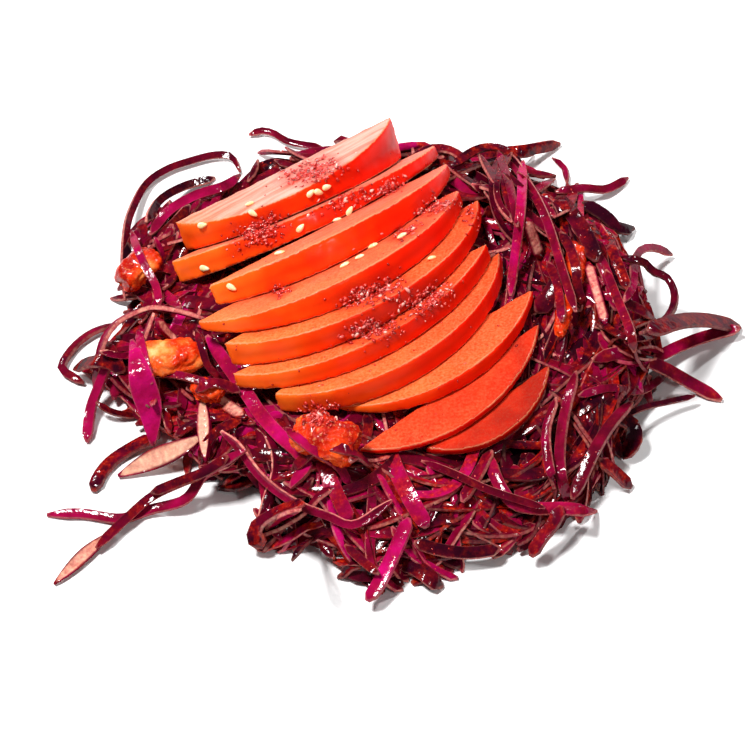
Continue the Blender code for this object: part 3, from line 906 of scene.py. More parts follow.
def scatter_shred(bank, lengths, widths, tones, oil_share, palest):
    """One loose shred, laid on the heap as it stands."""
    x, y = open_spot()
    path = wander(x, y, heading_at(x, y), dice.uniform(*lengths))
    if len(path) < FEWEST_RINGS:
        return
    count = len(path)
    places = np.linspace(0, 1, count)
    taper = tapered(places, *LOOSE_ENDS)
    width = dice.triangular(*widths, widths[0] + USUAL_WIDTH * (widths[1] - widths[0])) * taper
    width = width * (1 + UNEVEN * np.sin(places * 9 + dice.uniform(0, 6)))
    thick = np.full(count, dice.uniform(*THICKNESS)) * np.minimum(1.0, taper + THICK_TIPS)
    roll = dice.gauss(0.0, ROLL) + places * dice.gauss(0.0, TWIST)
    centre = np.column_stack([path, np.zeros(count)])
    centre[:, 2] = rest_heights(centre, width, thick, roll, limp=dice.uniform(*LIMPNESS))
    excess = np.max(centre[:, 2] - outline[cells(centre[:, 0], centre[:, 1])] - OVER)
    centre[:, 2] -= min(max(excess, 0.0), MOST_SUNK) * SINK_SHARE
    centre[:, 2] = np.maximum(centre[:, 2], half_height(width, thick, roll))
    press_in(centre, width, thick, roll)
    centre[:, 2] = np.maximum(centre[:, 2], LEAST_HEIGHT)
    # brighter towards the left and the front, by place alone
    brightening = max(0.0, -x / BRIGHTEST_LEFT) + max(0.0, -(y + BRIGHTER_FROM) / BRIGHTER_OVER)
    tone = min(1.0, dice.triangular(*tones) + BRIGHTER_LEFT_FRONT * min(1.0, brightening))
    oil = 1.0 if dice.random() < oil_share * 0.5 else dice.uniform(0.0, LITTLE_OIL)
    pale = palest * dice.uniform(0.1, 1.0) ** 1.1
    cup = dice.uniform(-MOST_CUP, MOST_CUP)
    add_shred(bank, centre, width, thick, roll, cup, tone, pale, oil)
    raise_surface(centre, width, thick, roll)


for name, amount, lengths, widths, tones, oil_share, palest in LAYERS:
    bank = Bank("tone", "cut", "pale", "oil")
    for _ in range(amount):
        scatter_shred(bank, lengths, widths, tones, oil_share, palest)
    piece = bank.build(name, CABBAGE, crisp=True)
    above = (surface - outline)[body & ~covered].mean()
    print(name, len(piece.data.polygons), "faces; surface minus heap:", round(above, 2), "mm")

# %% [markdown]
# ## The shreds that catch the eye
# Some shreds give the salad its outline: loops on the left, long strips that lie out on the
# table, the bright strip beside the fan. Each is a short row of picture points, given one by one,
# that is laid on whatever the heap is like there, so it rests on its neighbours from any side.
# `laid_by_eye` sights each point at a guessed height, lets the shred rest, and sights again from
# the height it came to. Where the heap's edge is thin, tufts of plainer shreds fill it first.

# %% Shreds that are placed one by one
# width mm, thickness mm, tone, cut edge, oil, extra lift mm, roll at both ends, picture points
PLACED_SHREDS = (
    # upper left
    (1.9, 1.0, 0.35, 0.5, 0.2, 3.0, (0.9, 0.5), ((125, 300), (124, 262), (126, 232), (131, 212),
     (145, 185), (165, 170), (190, 161), (215, 155), (232, 157), (240, 172))),
    (2.0, 1.0, 0.0, 0.2, 0.0, 1.0, (0.0, 0.3), ((128, 243), (127, 268), (131, 290))),
    (2.6, 1.0, 0.7, 0.5, 0.0, 1.0, (0.2, 0.6), ((150, 235), (168, 212), (195, 196), (225, 186),
     (240, 175))),
    (2.2, 1.0, 0.15, 0.8, 0.1, 1.0, (0.9, 0.2), ((146, 222), (160, 200), (185, 186), (215, 178))),
    (2.4, 1.0, 0.3, 0.5, 0.3, 1.5, (0.2, 0.9), ((135, 262), (150, 245), (172, 225), (190, 205))),
    (1.8, 0.9, 0.55, 0.6, 0.1, 2.0, (0.3, 0.9), ((249, 135), (262, 131), (275, 134), (290, 142),
     (322, 147))),
    (1.8, 0.9, 0.45, 0.4, 0.2, 1.0, (0.0, 0.4), ((334, 142), (343, 138), (352, 146))),
    (1.8, 0.9, 0.3, 0.7, 0.1, 1.0, (0.5, 0.4), ((258, 160), (254, 170), (248, 182))),
    # upper right
    (2.0, 0.9, 0.4, 0.5, 0.2, 1.0, (0.2, 0.4), ((415, 156), (435, 151), (455, 153))),
    (3.2, 0.9, 0.3, 0.4, 0.7, 2.0, (0.2, 1.3), ((472, 158), (490, 153), (520, 151), (545, 147),
     (560, 144))),
    (1.5, 0.9, 0.5, 0.5, 0.1, 1.0, (0.6, 0.4), ((552, 158), (564, 167), (567, 184))),
    (2.0, 1.0, 0.5, 1.0, 0.1, 1.5, (0.9, 0.6), ((472, 184), (487, 194), (500, 206), (512, 222))),
    (4.0, 1.0, 0.25, 0.3, 0.2, 1.0, (0.6, 0.1), ((556, 198), (572, 214), (588, 240), (596, 262))),
    (5.0, 1.0, 0.3, 0.3, 0.2, 1.0, (0.2, 0.1), ((536, 312), (550, 296), (562, 278))),
    (2.2, 1.0, 0.5, 0.5, 0.1, 2.0, (0.3, 0.5), ((556, 192), (582, 188), (606, 189), (628, 178))),
    (3.4, 1.0, 0.15, 0.2, 0.0, 2.0, (0.1, 0.4), ((583, 202), (603, 214), (620, 228), (634, 228))),
    (2.0, 1.1, 0.6, 0.5, 0.0, 3.0, (0.4, 0.5), ((624, 302), (633, 285), (634, 264), (641, 250),
     (656, 248), (672, 255))),
    (1.9, 1.0, 0.25, 0.3, 0.1, 2.0, (0.3, 0.6), ((618, 258), (642, 262), (653, 272), (667, 278),
     (675, 294), (672, 312), (658, 326), (640, 334))),
    (2.6, 1.0, 0.3, 0.5, 0.6, 1.0, (0.2, 0.5), ((609, 235), (612, 250), (619, 266), (628, 290))),
    (4.6, 1.1, 0.3, 0.2, 0.4, 1.0, (0.2, 0.1), ((648, 332), (676, 322), (706, 320), (740, 327))),
    (3.0, 1.2, 0.6, 0.7, 0.2, 1.0, (0.5, 0.1), ((652, 360), (680, 346), (708, 336), (740, 328))),
    (3.2, 1.1, 0.55, 0.9, 0.4, 2.0, (0.9, 0.1), ((592, 360), (624, 353), (660, 366), (691, 383),
     (722, 400))),
    # right
    (2.0, 1.0, 0.55, 0.6, 0.1, 1.0, (0.7, 0.4), ((578, 396), (608, 388), (640, 391), (666, 375))),
    (1.4, 0.9, 0.2, 0.3, 0.1, 0.5, (0.2, 0.4), ((612, 424), (640, 409), (668, 402), (695, 396))),
    (4.2, 1.0, 0.15, 0.3, 0.3, 1.0, (0.3, 0.2), ((612, 415), (630, 424), (634, 442), (622, 458))),
    (3.0, 1.2, 0.45, 0.3, 0.7, 0.8, (0.2, 0.3), ((598, 460), (614, 472), (631, 488))),
    (3.0, 1.1, 0.4, 0.4, 0.1, 2.0, (0.4, 0.1), ((632, 402), (612, 424), (597, 447), (584, 474),
     (572, 499))),
    (2.6, 1.1, 0.6, 0.6, 0.1, 2.5, (0.6, 0.3), ((576, 372), (568, 400), (562, 430), (560, 465),
     (567, 503))),
    (2.2, 1.0, 0.6, 0.8, 0.1, 1.5, (0.8, 0.3), ((556, 398), (546, 430), (549, 465), (560, 500))),
    (3.0, 1.1, 0.7, 0.6, 0.3, 1.5, (0.5, 0.3), ((488, 452), (496, 478), (512, 502), (535, 508),
     (562, 508), (596, 511))),
    (3.2, 1.2, 0.45, 0.2, 0.5, 1.0, (0.2, 0.3), ((562, 506), (553, 525), (541, 540), (531, 557))),
    (2.8, 1.1, 0.6, 0.7, 0.4, 2.0, (0.6, 0.3), ((492, 450), (478, 476), (462, 502))),
    (1.8, 0.9, 0.4, 0.7, 0.2, 1.0, (0.8, 0.7), ((422, 461), (455, 474), (490, 490), (545, 508))),
    # front
    (4.0, 1.1, 0.8, 0.4, 0.6, 1.5, (0.3, 0.2), ((388, 447), (397, 472), (413, 504), (427, 528))),
    (3.0, 1.0, 0.15, 0.6, 0.2, 1.0, (0.4, 0.2), ((414, 542), (440, 550), (470, 553), (500, 549))),
    (3.5, 1.1, 0.9, 0.3, 0.1, 1.0, (0.2, 0.3), ((409, 518), (393, 554), (380, 580), (367, 601))),
    (2.0, 1.0, 0.3, 0.4, 0.4, 0.8, (0.2, 0.4), ((345, 545), (361, 560), (379, 574))),
    (4.0, 1.1, 0.2, 0.4, 0.3, 0.8, (0.4, 0.2), ((398, 560), (420, 570), (442, 587))),
    (3.6, 1.1, 0.75, 0.6, 0.6, 1.5, (0.3, 0.2), ((320, 456), (334, 488), (350, 522))),
    (1.9, 1.2, 0.6, 1.0, 0.1, 2.5, (1.0, 0.8), ((221, 431), (238, 446), (257, 472), (275, 489),
     (300, 505), (329, 516), (355, 524), (392, 500))),
    (3.4, 1.2, 0.85, 0.6, 0.2, 2.0, (0.5, 0.2), ((207, 336), (224, 360), (246, 392), (262, 416),
     (280, 436), (298, 452), (306, 466), (290, 488))),
    (4.6, 1.0, 0.3, 0.5, 0.8, 1.0, (0.3, 0.5), ((304, 505), (282, 512), (258, 528), (260, 549))),
    (3.0, 1.0, 0.6, 0.8, 0.4, 1.0, (0.5, 0.2), ((300, 510), (278, 520), (266, 535))),
    (1.3, 0.9, 0.1, 0.2, 0.2, 0.8, (0.2, 0.4), ((315, 537), (301, 548), (292, 561))),
    (2.0, 0.9, 0.35, 0.3, 0.6, 0.8, (0.2, 0.4), ((318, 542), (335, 559))),
    # left
    (2.1, 1.1, 0.45, 0.3, 0.2, 2.5, (0.5, 0.3), ((114, 324), (92, 332), (75, 345), (64, 360), (62, 369),
     (70, 375), (84, 383))),
    (1.9, 1.2, 0.6, 0.9, 0.1, 3.0, (1.0, 0.5), ((204, 319), (180, 312), (155, 308), (138, 312),
     (116, 324), (103, 343), (98, 368), (95, 392))),
    (2.7, 1.1, 0.75, 0.3, 0.0, 2.0, (0.3, 0.2), ((112, 355), (100, 385), (91, 410), (87, 442))),
    (1.5, 0.9, 0.2, 0.3, 0.3, 1.5, (0.2, 0.3), ((96, 402), (112, 412), (138, 417))),
    (3.6, 1.1, 0.35, 0.25, 0.7, 1.0, (0.2, 0.3), ((152, 436), (130, 448), (112, 460), (100, 474),
     (93, 491))),
    (5.2, 1.0, 0.6, 1.9, 0.3, 1.5, (0.5, 0.4), ((118, 476), (150, 461), (178, 449), (203, 436))),
    (3.4, 2.0, 0.6, 1.8, 0.1, 1.5, (0.3, 0.3), ((203, 396), (205, 428), (206, 462))),
    (2.4, 1.1, 0.65, 0.3, 0.1, 1.0, (0.2, 0.3), ((47, 515), (82, 514), (120, 519), (150, 510),
     (185, 500), (203, 476), (224, 462), (246, 450))),
    (3.2, 1.0, 0.6, 1.65, 0.4, 1.0, (0.3, 0.2), ((54, 584), (72, 567), (88, 552), (112, 532))),
    (2.2, 1.0, 0.45, 0.4, 0.4, 1.0, (0.3, 0.5), ((96, 548), (108, 536), (125, 520), (150, 498),
     (178, 484), (205, 474), (232, 466))),
    (2.3, 1.0, 0.3, 0.3, 0.3, 1.0, (0.3, 0.5), ((151, 493), (178, 482), (206, 471), (228, 456))),
    (3.5, 1.0, 0.2, 0.3, 0.5, 0.8, (0.2, 0.3), ((74, 369), (90, 362), (108, 362), (125, 372))),
    (1.6, 1.0, 0.6, 1.0, 0.1, 1.0, (0.9, 0.6), ((100, 351), (122, 356), (142, 353))),
    (1.4, 1.0, 0.6, 1.0, 0.0, 1.5, (1.0, 0.8), ((154, 313), (146, 334), (138, 358))),
    (2.4, 1.2, 0.6, 1.3, 0.3, 1.5, (0.5, 0.3), ((156, 318), (166, 332), (178, 344))),
    (2.4, 1.1, 0.5, 0.8, 0.3, 1.0, (0.4, 0.2), ((186, 388), (212, 391), (242, 386))),
    (3.4, 1.0, 0.3, 1.5, 0.6, 1.0, (0.4, 0.2), ((214, 396), (230, 408), (246, 418))),
)
PIXELS_PER_MM = 4.0
LIFT_SHARE = 0.3                # a free shred sinks to this share of its listed lift
TUFT_LIFT = 0.3                 # mm
SHORTENINGS = 4                 # most times a tuft's shred is cut to stay on the body
SHORTER = 0.8                   # share of its length that is left each time
FIRST_HEIGHT = 4.0              # mm; the guess that the sighting starts from
SIGHTINGS = 4
LENS_PALE = 1.6                 # shreds paler than this, or wider than LENS_WIDTH in mm, are
LENS_WIDTH = 5.0                # pointed slips of leaf, widest in the middle
LENS_TIP = 0.15                 # share of the width at their tips
PLACED_ENDS = (0.3, 8.0)        # share of the width at other shreds' tips, and how fast it grows
THICK_ENDS = (0.6, 6.0)         # and of the thickness
PLACED_CUP = (-0.2, 0.25)       # share of the width


def sighted(flat, heights):
    """Points at some heights that the camera sees at points of the picture."""
    return np.array([seen_at(px, py, height) for (px, py), height in zip(flat, heights)])


def laid_by_eye(flat, width, thick, roll, lift):
    """Path of a shred that covers its picture points and rests on the heap."""
    heights = np.full(len(flat), FIRST_HEIGHT)
    for _ in range(SIGHTINGS):
        centre = sighted(flat, heights)
        centre[:, 2] = rest_heights(centre, width, thick, roll) + lift
        press_in(centre, width, thick, roll)
        heights = centre[:, 2].copy()
    return sighted(flat, heights)


# picture centre x, y, spread x, y, heading and its spread in degrees (0 is to the right, 90
# up), length in mm, how many, tone, oil
TUFTS = (
    (184, 226, 34, 14, 38, 12, 24.0, 13, 0.55, 0.2),
    (160, 248, 20, 18, 70, 25, 24.0, 12, 0.45, 0.3),
    (150, 285, 18, 16, 20, 40, 24.0, 10, 0.6, 0.3),
    (300, 158, 40, 6, 10, 15, 20.0, 6, 0.5, 0.1),
    (470, 174, 35, 8, -8, 20, 26.0, 12, 0.3, 0.3),
    (522, 196, 28, 16, -50, 20, 24.0, 12, 0.4, 0.3),
    (580, 250, 24, 26, -62, 16, 26.0, 14, 0.4, 0.4),
    (632, 335, 18, 20, -30, 25, 20.0, 9, 0.4, 0.4),
    (215, 448, 14, 14, 40, 25, 18.0, 8, 0.5, 0.4),
    (140, 380, 22, 20, -60, 30, 24.0, 8, 0.5, 0.4),
)


def add_tuft(bank, px, py, spread_x, spread_y, heading, spread, length, amount, tone, oil):
    """Several loose shreds that lie about the same way near a point of the picture."""
    for _ in range(amount):
        way = math.radians(dice.gauss(heading, spread))
        reach = length * dice.uniform(0.6, 1.3) * PIXELS_PER_MM / 2     # half the length
        bow = dice.gauss(0.0, 0.3)                                      # share of it, sideways
        middle = (dice.gauss(px, spread_x / 2), dice.gauss(py, spread_y / 2))
        step, aside = (math.cos(way), -math.sin(way)), (math.sin(way), math.cos(way))
        for _ in range(SHORTENINGS):
            points = [(middle[0] + (step[0] * t + aside[0] * bow * (1 - t * t)) * reach,
                       middle[1] + (step[1] * t + aside[1] * bow * (1 - t * t)) * reach)
                      for t in (-1.0, -0.5, 0.0, 0.5, 1.0)]
            if within_edge(*np.array(points).T).all():
                break
            reach *= SHORTER
        turns = (dice.gauss(0.0, 0.6), dice.gauss(0.0, 0.6))
        place_shred(bank, dice.uniform(1.3, 3.0), dice.uniform(0.7, 1.0), dice.gauss(tone, 0.18),
                    dice.uniform(0.1, 0.9), dice.uniform(0.0, 2 * oil), TUFT_LIFT, turns, points)


def place_shred(bank, full, thickness, tone, pale, oil, lift, rolls, points):
    """One shred through some picture points."""
    flat = smooth_path(points, step=RING_STEP * PIXELS_PER_MM)
    places = np.linspace(0, 1, len(flat))
    width = full * tapered(places, *PLACED_ENDS)
    if pale > LENS_PALE or full > LENS_WIDTH:
        width = full * (LENS_TIP + (1 - LENS_TIP) * np.sin(places * math.pi))
    thick = thickness * tapered(places, *THICK_ENDS)
    roll = np.linspace(*rolls, len(flat))
    centre = laid_by_eye(flat, width, thick, roll, lift)
    add_shred(bank, centre, width, thick, roll, dice.uniform(*PLACED_CUP), tone, pale, oil)
    raise_surface(centre, width, thick, roll)


placed = Bank("tone", "cut", "pale", "oil")
for row in TUFTS:               # first, so that the single shreds lie over them
    add_tuft(placed, *row)
for full, thickness, tone, pale, oil, lift, rolls, points in PLACED_SHREDS:
    place_shred(placed, full, thickness, tone, pale, oil, lift * LIFT_SHARE, rolls, points)
placed_shreds = placed.build("shreds_placed", CABBAGE, crisp=True)
print("placed shreds:", len(PLACED_SHREDS), "faces:", len(placed_shreds.data.polygons))

# %% [markdown]
# ## Tomato slices
# Each packed slice is closed and right in size, but its cut edges are sharp as sheet metal. A
# bevel would round them, if its faces were clean and few. A voxel remesh works on any closed
# solid: it gives an even skin, smoothing rounds the knife's edges by half a millimetre, and a
# little noise makes the faces uneven. Then the painted values are worked out from the packed
# slice: which of its faces are skin, and how far each point is from the nearest edge.

# %% Slices
SLICE_VOXEL = 0.55              # mm
SLICE_SMOOTHING = 4             # rounds that soften the knife's edges
SLICE_WAVE = 0.18               # unevenness of the cut faces, mm
SLICE_WAVES = ((7.0, 1.0), (2.5, 0.5))  # size of the waves in mm, and their share
PLANE_STEP = 50                 # normals are grouped by steps of one fiftieth
KNIFE_AREA = 30.0               # mm2; a facet of the skin is smaller
SAME_WAY = 0.998                # cosine between normals that count as one
EDGE_STEP = 0.5                 # mm
UNRIPE, RIPER = 0.05, 0.68      # ripeness at a slice's left end, and how much it grows
RIPER_AND_SHADED = {9: 0.7, 10: 0.95}   # slices painted redder, by number: riper, and partly painted shade
PALE_STREAKED = {1: 1.0, 2: 0.45, 3: 0.25, 4: 0.1}  # slices whose faces are pale pink with streaks
STREAK_LEFT, STREAK_RISE = 0.45, 1.2        # share of that at the left end, and how much it grows


def flat_normals(mesh):
    """Normals of the large flat faces, which the knife made."""
    areas = {}
    for polygon in mesh.polygons:
        key = tuple(round(c * PLANE_STEP) for c in polygon.normal)
        areas[key] = areas.get(key, 0.0) + polygon.area / MM ** 2
    return [Vector(key).normalized() for key in areas if areas[key] > KNIFE_AREA]


def is_flat(polygon, normals):
    """Whether a face belongs to one of the knife's cuts."""
    return any(polygon.normal.dot(normal) > SAME_WAY for normal in normals)


def knife_edges(mesh, normals):
    """Points along the edges between skin and cut faces."""
    kinds = {}
    for polygon in mesh.polygons:
        for key in polygon.edge_keys:
            kinds.setdefault(key, []).append(is_flat(polygon, normals))
    spots = []
    for (a, b), kind in kinds.items():
        if len(set(kind)) == 2:
            start, end = mesh.vertices[a].co / MM, mesh.vertices[b].co / MM
            steps = max(1, int((end - start).length / EDGE_STEP))
            spots.extend(start.lerp(end, step / steps) for step in range(steps + 1))
    return spots


def rim_distance(mesh, solid):
    """Distance of each point from the knife's edge: above zero on skin, below on flesh."""
    normals = flat_normals(solid)
    edge_tree = nearest_tree(knife_edges(solid, normals))
    solid_tree = tree_of([solid])
    flat = [is_flat(polygon, normals) for polygon in solid.polygons]
    distances = []
    for vert in mesh.vertices:
        place = vert.co / MM
        face = solid_tree.find_nearest(place)[2]
        distance = edge_tree.find(place)[2]
        distances.append(-distance if flat[face] else distance)
    return np.array(distances)


def build_slice(name):
    """One slice with rounded cuts, painted for its skin, ripeness and sauce."""
    mesh = remeshed(copies[name].copy(), SLICE_VOXEL, SLICE_SMOOTHING)
    points = points_of(mesh)
    for vert, point in zip(mesh.vertices, points):
        wave = sum(share * noise.noise(Vector(point / size)) for size, share in SLICE_WAVES)
        point += np.array(vert.normal) * wave * SLICE_WAVE
    set_points(mesh, points)
    paint(mesh, "rim", rim_distance(mesh, copies[name]))
    number = int(name[-2:])
    left_end = points[:, 0].min()
    length = points[:, 0].max() - left_end
    ripe = (points[:, 0] - left_end) / length
    riper_and_shaded = RIPER_AND_SHADED.get(number, 0.0)
    paint(mesh, "ripe", np.clip(riper_and_shaded + (UNRIPE + RIPER * ripe) * (1 - riper_and_shaded), 0, 1))
    paint(mesh, "faded", PALE_STREAKED.get(number, 0.0) * np.clip(STREAK_LEFT + STREAK_RISE * ripe, 0, 1))
    piece = finish_piece(name.replace("tomato_", "cut_"), mesh, TOMATO)
    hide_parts(name)
    return piece


slices = [build_slice(name) for name in SLICES]
print("slices:", sum(len(piece.data.polygons) for piece in slices), "faces")

# %% [markdown]
# ## Loose tomato pieces
# The small pieces were squashed a little in mixing, so pulp and jelly show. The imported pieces
# are remeshed finely, pushed in and out by lumps, creases and fine grain, and settled a little
# flatter. Then they are painted with `jelly`, which turns the pulp from red-orange to gold.

# %% Loose pieces
CHUNK_JELLY = {
    "tomato_piece_left": 0.45, "tomato_piece_small": 0.25, "tomato_piece_front": 0.25,
    "tomato_piece_back": 0.3, "tomato_piece_right": 0.1, "tomato_piece_tip": 0.1,
}
CHUNK_VOXEL = 0.5               # mm
CHUNK_SMOOTHING = 2
CHUNK_SQUASH = 0.85             # a soft piece settles flatter than it was cut
CHUNK_SINK = 0.3                # mm into the shreds under it
CHUNK_SHRINK = 1.0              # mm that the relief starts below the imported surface
LUMP_SIZE, LUMP_HEIGHT = 5.0, 1.3       # mm
CREASE_SIZE, CREASE_HEIGHT = 3.0, 1.4
CREASE_TOP = 0.35               # where a ridge between creases is cut flat
CREASE_SHIFT = Vector((5.0, 0.0, 0.0))  # so that creases and lumps don't follow each other
GRAIN_SIZE, GRAIN_HEIGHT = 1.2, 0.12
JELLY_SIZE, JELLY_SHARE = 6.0, 0.8      # size of the jelly's blots in mm, and their contrast


def build_chunk(name):
    """One loose piece of tomato with a lumpy, wet surface."""
    mesh = remeshed(copies[name].copy(), CHUNK_VOXEL, CHUNK_SMOOTHING)
    points = points_of(mesh)
    jelly = []
    for vert, point in zip(mesh.vertices, points):
        lump = LUMP_HEIGHT * noise.noise(Vector(point / LUMP_SIZE))
        ridge = abs(noise.noise(Vector(point / CREASE_SIZE) + CREASE_SHIFT))
        relief = lump + CREASE_HEIGHT * min(ridge, CREASE_TOP) - CHUNK_SHRINK
        relief += GRAIN_HEIGHT * noise.noise(Vector(point / GRAIN_SIZE))
        point += np.array(vert.normal) * relief
        jelly.append(CHUNK_JELLY[name] + JELLY_SHARE * noise.noise(Vector(point / JELLY_SIZE)))
    middle = points.mean(axis=0)
    points[:, 2] = middle[2] + (points[:, 2] - middle[2]) * CHUNK_SQUASH - CHUNK_SINK
    set_points(mesh, points)
    paint(mesh, "jelly", np.clip(jelly, 0, 1))
    piece = finish_piece(name.replace("tomato_piece", "pulpy_piece"), mesh, PULP)
    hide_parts(name)
    return piece


chunks = [build_chunk(name) for name in CHUNKS]
print("loose pieces:", sum(len(piece.data.polygons) for piece in chunks), "faces")

# %% [markdown]
# ## Shreds over the loose pieces
# The loose pieces were mixed in with the cabbage, so some shreds lie across them. The map of
# heights now takes in those pieces, and only the slices still count as a ceiling. The few shreds
# that lie on top of all the others, such as the long magenta one beside the fan, come last too.

# %% Shreds over the loose pieces
# width mm, tone, cut edge, oil, roll at both ends, picture points
OVER_SHREDS = (
    (2.6, 0.5, 0.4, 0.3, (0.3, 0.1), ((292, 470), (312, 452), (330, 447), (352, 452), (372, 466))),
    (2.2, 0.75, 0.3, 0.2, (0.1, 0.4), ((286, 428), (300, 440), (316, 452), (338, 466), (350, 486))),
    (2.4, 0.3, 0.5, 0.5, (0.4, 0.1), ((350, 462), (362, 446), (368, 428), (366, 412))),
    (2.0, 0.6, 0.6, 0.2, (0.5, 0.2), ((128, 388), (146, 376), (168, 374), (190, 378), (210, 384))),
    (2.2, 0.8, 0.3, 0.1, (0.2, 0.5), ((138, 330), (142, 348), (146, 366), (152, 384))),
    (1.8, 0.45, 0.6, 0.3, (0.6, 0.3), ((196, 330), (202, 348), (208, 366), (222, 380))),
    (2.4, 0.5, 0.4, 0.4, (0.3, 0.3), ((196, 392), (208, 384), (222, 384), (240, 392))),
    (2.4, 0.6, 0.5, 0.4, (0.2, 0.4), ((118, 290), (134, 276), (150, 268), (172, 270), (188, 282))),
    (2.0, 0.7, 0.4, 0.2, (0.5, 0.2), ((132, 232), (138, 250), (146, 268), (156, 286), (160, 306))),
    (2.4, 0.35, 0.5, 0.4, (0.4, 0.2), ((560, 232), (570, 248), (576, 268), (578, 290), (584, 306))),
    (2.2, 0.5, 0.5, 0.5, (0.3, 0.5), ((548, 262), (556, 280), (560, 300), (562, 322))),
    (2.5, 0.9, 0.8, 0.45, (0.2, 0.5), ((523, 161), (522, 200), (518, 240), (514, 270), (511, 296))),
    (3.2, 0.6, 1.3, 0.4, (0.2, 0.2), ((526, 218), (533, 238), (540, 258))),
    (2.4, 0.6, 1.3, 0.3, (0.3, 0.5), ((588, 262), (596, 290), (606, 324))),
    (2.2, 0.5, 0.9, 0.3, (0.4, 0.6), ((606, 270), (618, 300), (630, 330), (634, 352))),
    (2.2, 0.55, 0.8, 0.2, (0.8, 0.5), ((518, 172), (535, 195), (550, 228), (562, 268), (576, 312))),
    (6.6, 0.95, 0.5, 0.1, (0.2, 0.2), ((132, 340), (142, 382), (150, 410), (153, 446))),
)
OVER_THICKNESS = 0.8            # mm


def take_in_chunks():
    """Raise the map over the loose pieces and keep only the slices as its ceiling."""
    on_chunks = height_map(tree_of([piece.data for piece in chunks]))
    np.maximum(surface, on_chunks, out=surface)
    np.copyto(ceiling, height_map(tree_of([copies[name] for name in SLICES]), True, FAR))


take_in_chunks()
over = Bank("tone", "cut", "pale", "oil")
for full, tone, pale, oil, rolls, points in OVER_SHREDS:
    place_shred(over, full, OVER_THICKNESS, tone, pale, oil, 0.0, rolls, points)
over_shreds = over.build("shreds_over_pieces", CABBAGE, crisp=True)
print("shreds over the loose pieces:", len(OVER_SHREDS), "faces:", len(over_shreds.data.polygons))

# %% [markdown]
# ## Sesame seeds
# A hulled sesame seed is a flat drop, 3 mm long, under 2 mm wide and 1 mm thick. One drop is
# shaped from a small sphere, then copied to listed places and laid flat on the slice that the
# camera sees there, as a seed sticks to wet flesh.

# %% Sesame
SESAME_LENGTH = 3.0             # mm
SESAME_WIDTH = 0.55             # share of the length, at its middle
SESAME_DROP = 0.35              # how much narrower the pointed end is
SESAME_HALF = 0.55              # half its thickness, mm
SESAME_LIFT = 0.35              # of its middle over the slice, mm
SESAME_SPOTS = (
    (203, 225), (250, 205), (253, 213), (310, 193), (318, 192), (326, 187), (300, 228), (297, 240),
    (337, 221), (349, 211), (280, 254), (345, 266), (360, 258), (373, 247), (402, 237), (432, 259),
    (205, 268), (232, 287),
)
slice_tree = tree_of([piece.data for piece in slices + chunks])


def seed_shape():
    """Points and faces of one seed, pointed at one end, lying flat."""
    bm = bmesh.new()
    bmesh.ops.create_uvsphere(bm, u_segments=12, v_segments=8, radius=1.0)
    for vert in bm.verts:
        x, y, z = vert.co
        narrow = SESAME_WIDTH * (1 - SESAME_DROP * z) * SESAME_LENGTH / 2
        vert.co = Vector((z * SESAME_LENGTH / 2, x * narrow, y * SESAME_HALF))
    return taken_from(bm)


def laid_flat(points, place, normal, turn, size=1.0, tip=0.0):
    """Copy of a small shape, turned about the surface's normal and set down there."""
    basis = normal.to_track_quat("Z", "Y").to_matrix()
    basis = basis @ Matrix.Rotation(turn, 3, "Z") @ Matrix.Rotation(tip, 3, "Y")
    return points * size @ np.array(basis).T + np.array(place)


def seen_on_tomato(px, py):
    """Where the camera's line through a point of the picture meets the tomato, and its normal."""
    return slice_tree.ray_cast(EYE, view_ray(px, py))[:2]


seeds = Bank()
seed_points, seed_faces = seed_shape()
for px, py in SESAME_SPOTS:
    place, normal = seen_on_tomato(px, py)
    if place is not None:
        seeds.add(laid_flat(seed_points, place + normal * SESAME_LIFT, normal,
                            dice.gauss(0.0, 0.5), dice.uniform(0.85, 1.0),
                            dice.gauss(0.0, 0.15)), seed_faces)
sesame = seeds.build("sesame_seeds", SESAME)
print("seeds:", len(seeds.points), "faces:", len(sesame.data.polygons))

# %% [markdown]
# ## Chili
# The chili lies on the slices in patches where the spoon let it fall, and single flakes lie on
# the slices between them and on the cabbage. A flake is a crumpled chip, from a sphere of few
# faces that is flattened and knocked out of shape, so no two look alike. All flakes go into one
# joined mesh rather than a particle system, so that each can be knocked about by itself.

# %% Chili
CHILI_PATCHES = (
    # picture centre x, y, half sizes, slant in degrees, flakes
    (312, 172, 32, 11, -15, 260), (260, 230, 28, 13, -25, 240), (390, 188, 18, 8, -20, 130),
    (435, 207, 22, 8, -20, 150), (405, 234, 14, 6, -20, 70), (372, 294, 30, 10, -20, 240),
    (425, 300, 27, 13, -25, 260), (372, 330, 28, 11, -12, 240), (282, 291, 9, 5, -20, 45),
    (322, 414, 24, 12, -10, 200), (345, 200, 32, 10, -15, 80), (470, 215, 10, 20, 0, 30),
)
STRAY_ON_SLICES = 130
STRAY_ACROSS = (180, 530)       # part of the picture, in pixels, that they fall on
STRAY_DOWN = (130, 450)
STRAY_ON_CABBAGE = 1100
FLAKE_LIFT = 0.2                # lift of a flake's middle as a share of its size
FLAKE_KNOCK = (0.55, 1.3)       # how far its points are knocked in or out
FLAKE_SHAPE = ((0.7, 1.3), (0.45, 0.8), (0.25, 0.5))    # length, width and height over its size
FLAKE_TONE_AND_GLINT = (0.42, 0.3)        # usual tone and its spread; the highest tones are painted glints
PATCH_SIZES = (0.25, 0.95, 0.45)        # smallest, largest and usual size, mm
STRAY_SIZES = (0.2, 0.5)
CABBAGE_SIZES = (0.18, 0.42)

chip = bmesh.new()
bmesh.ops.create_icosphere(chip, subdivisions=1, radius=1.0)
flake_points, flake_faces = taken_from(chip)
flake_places = []


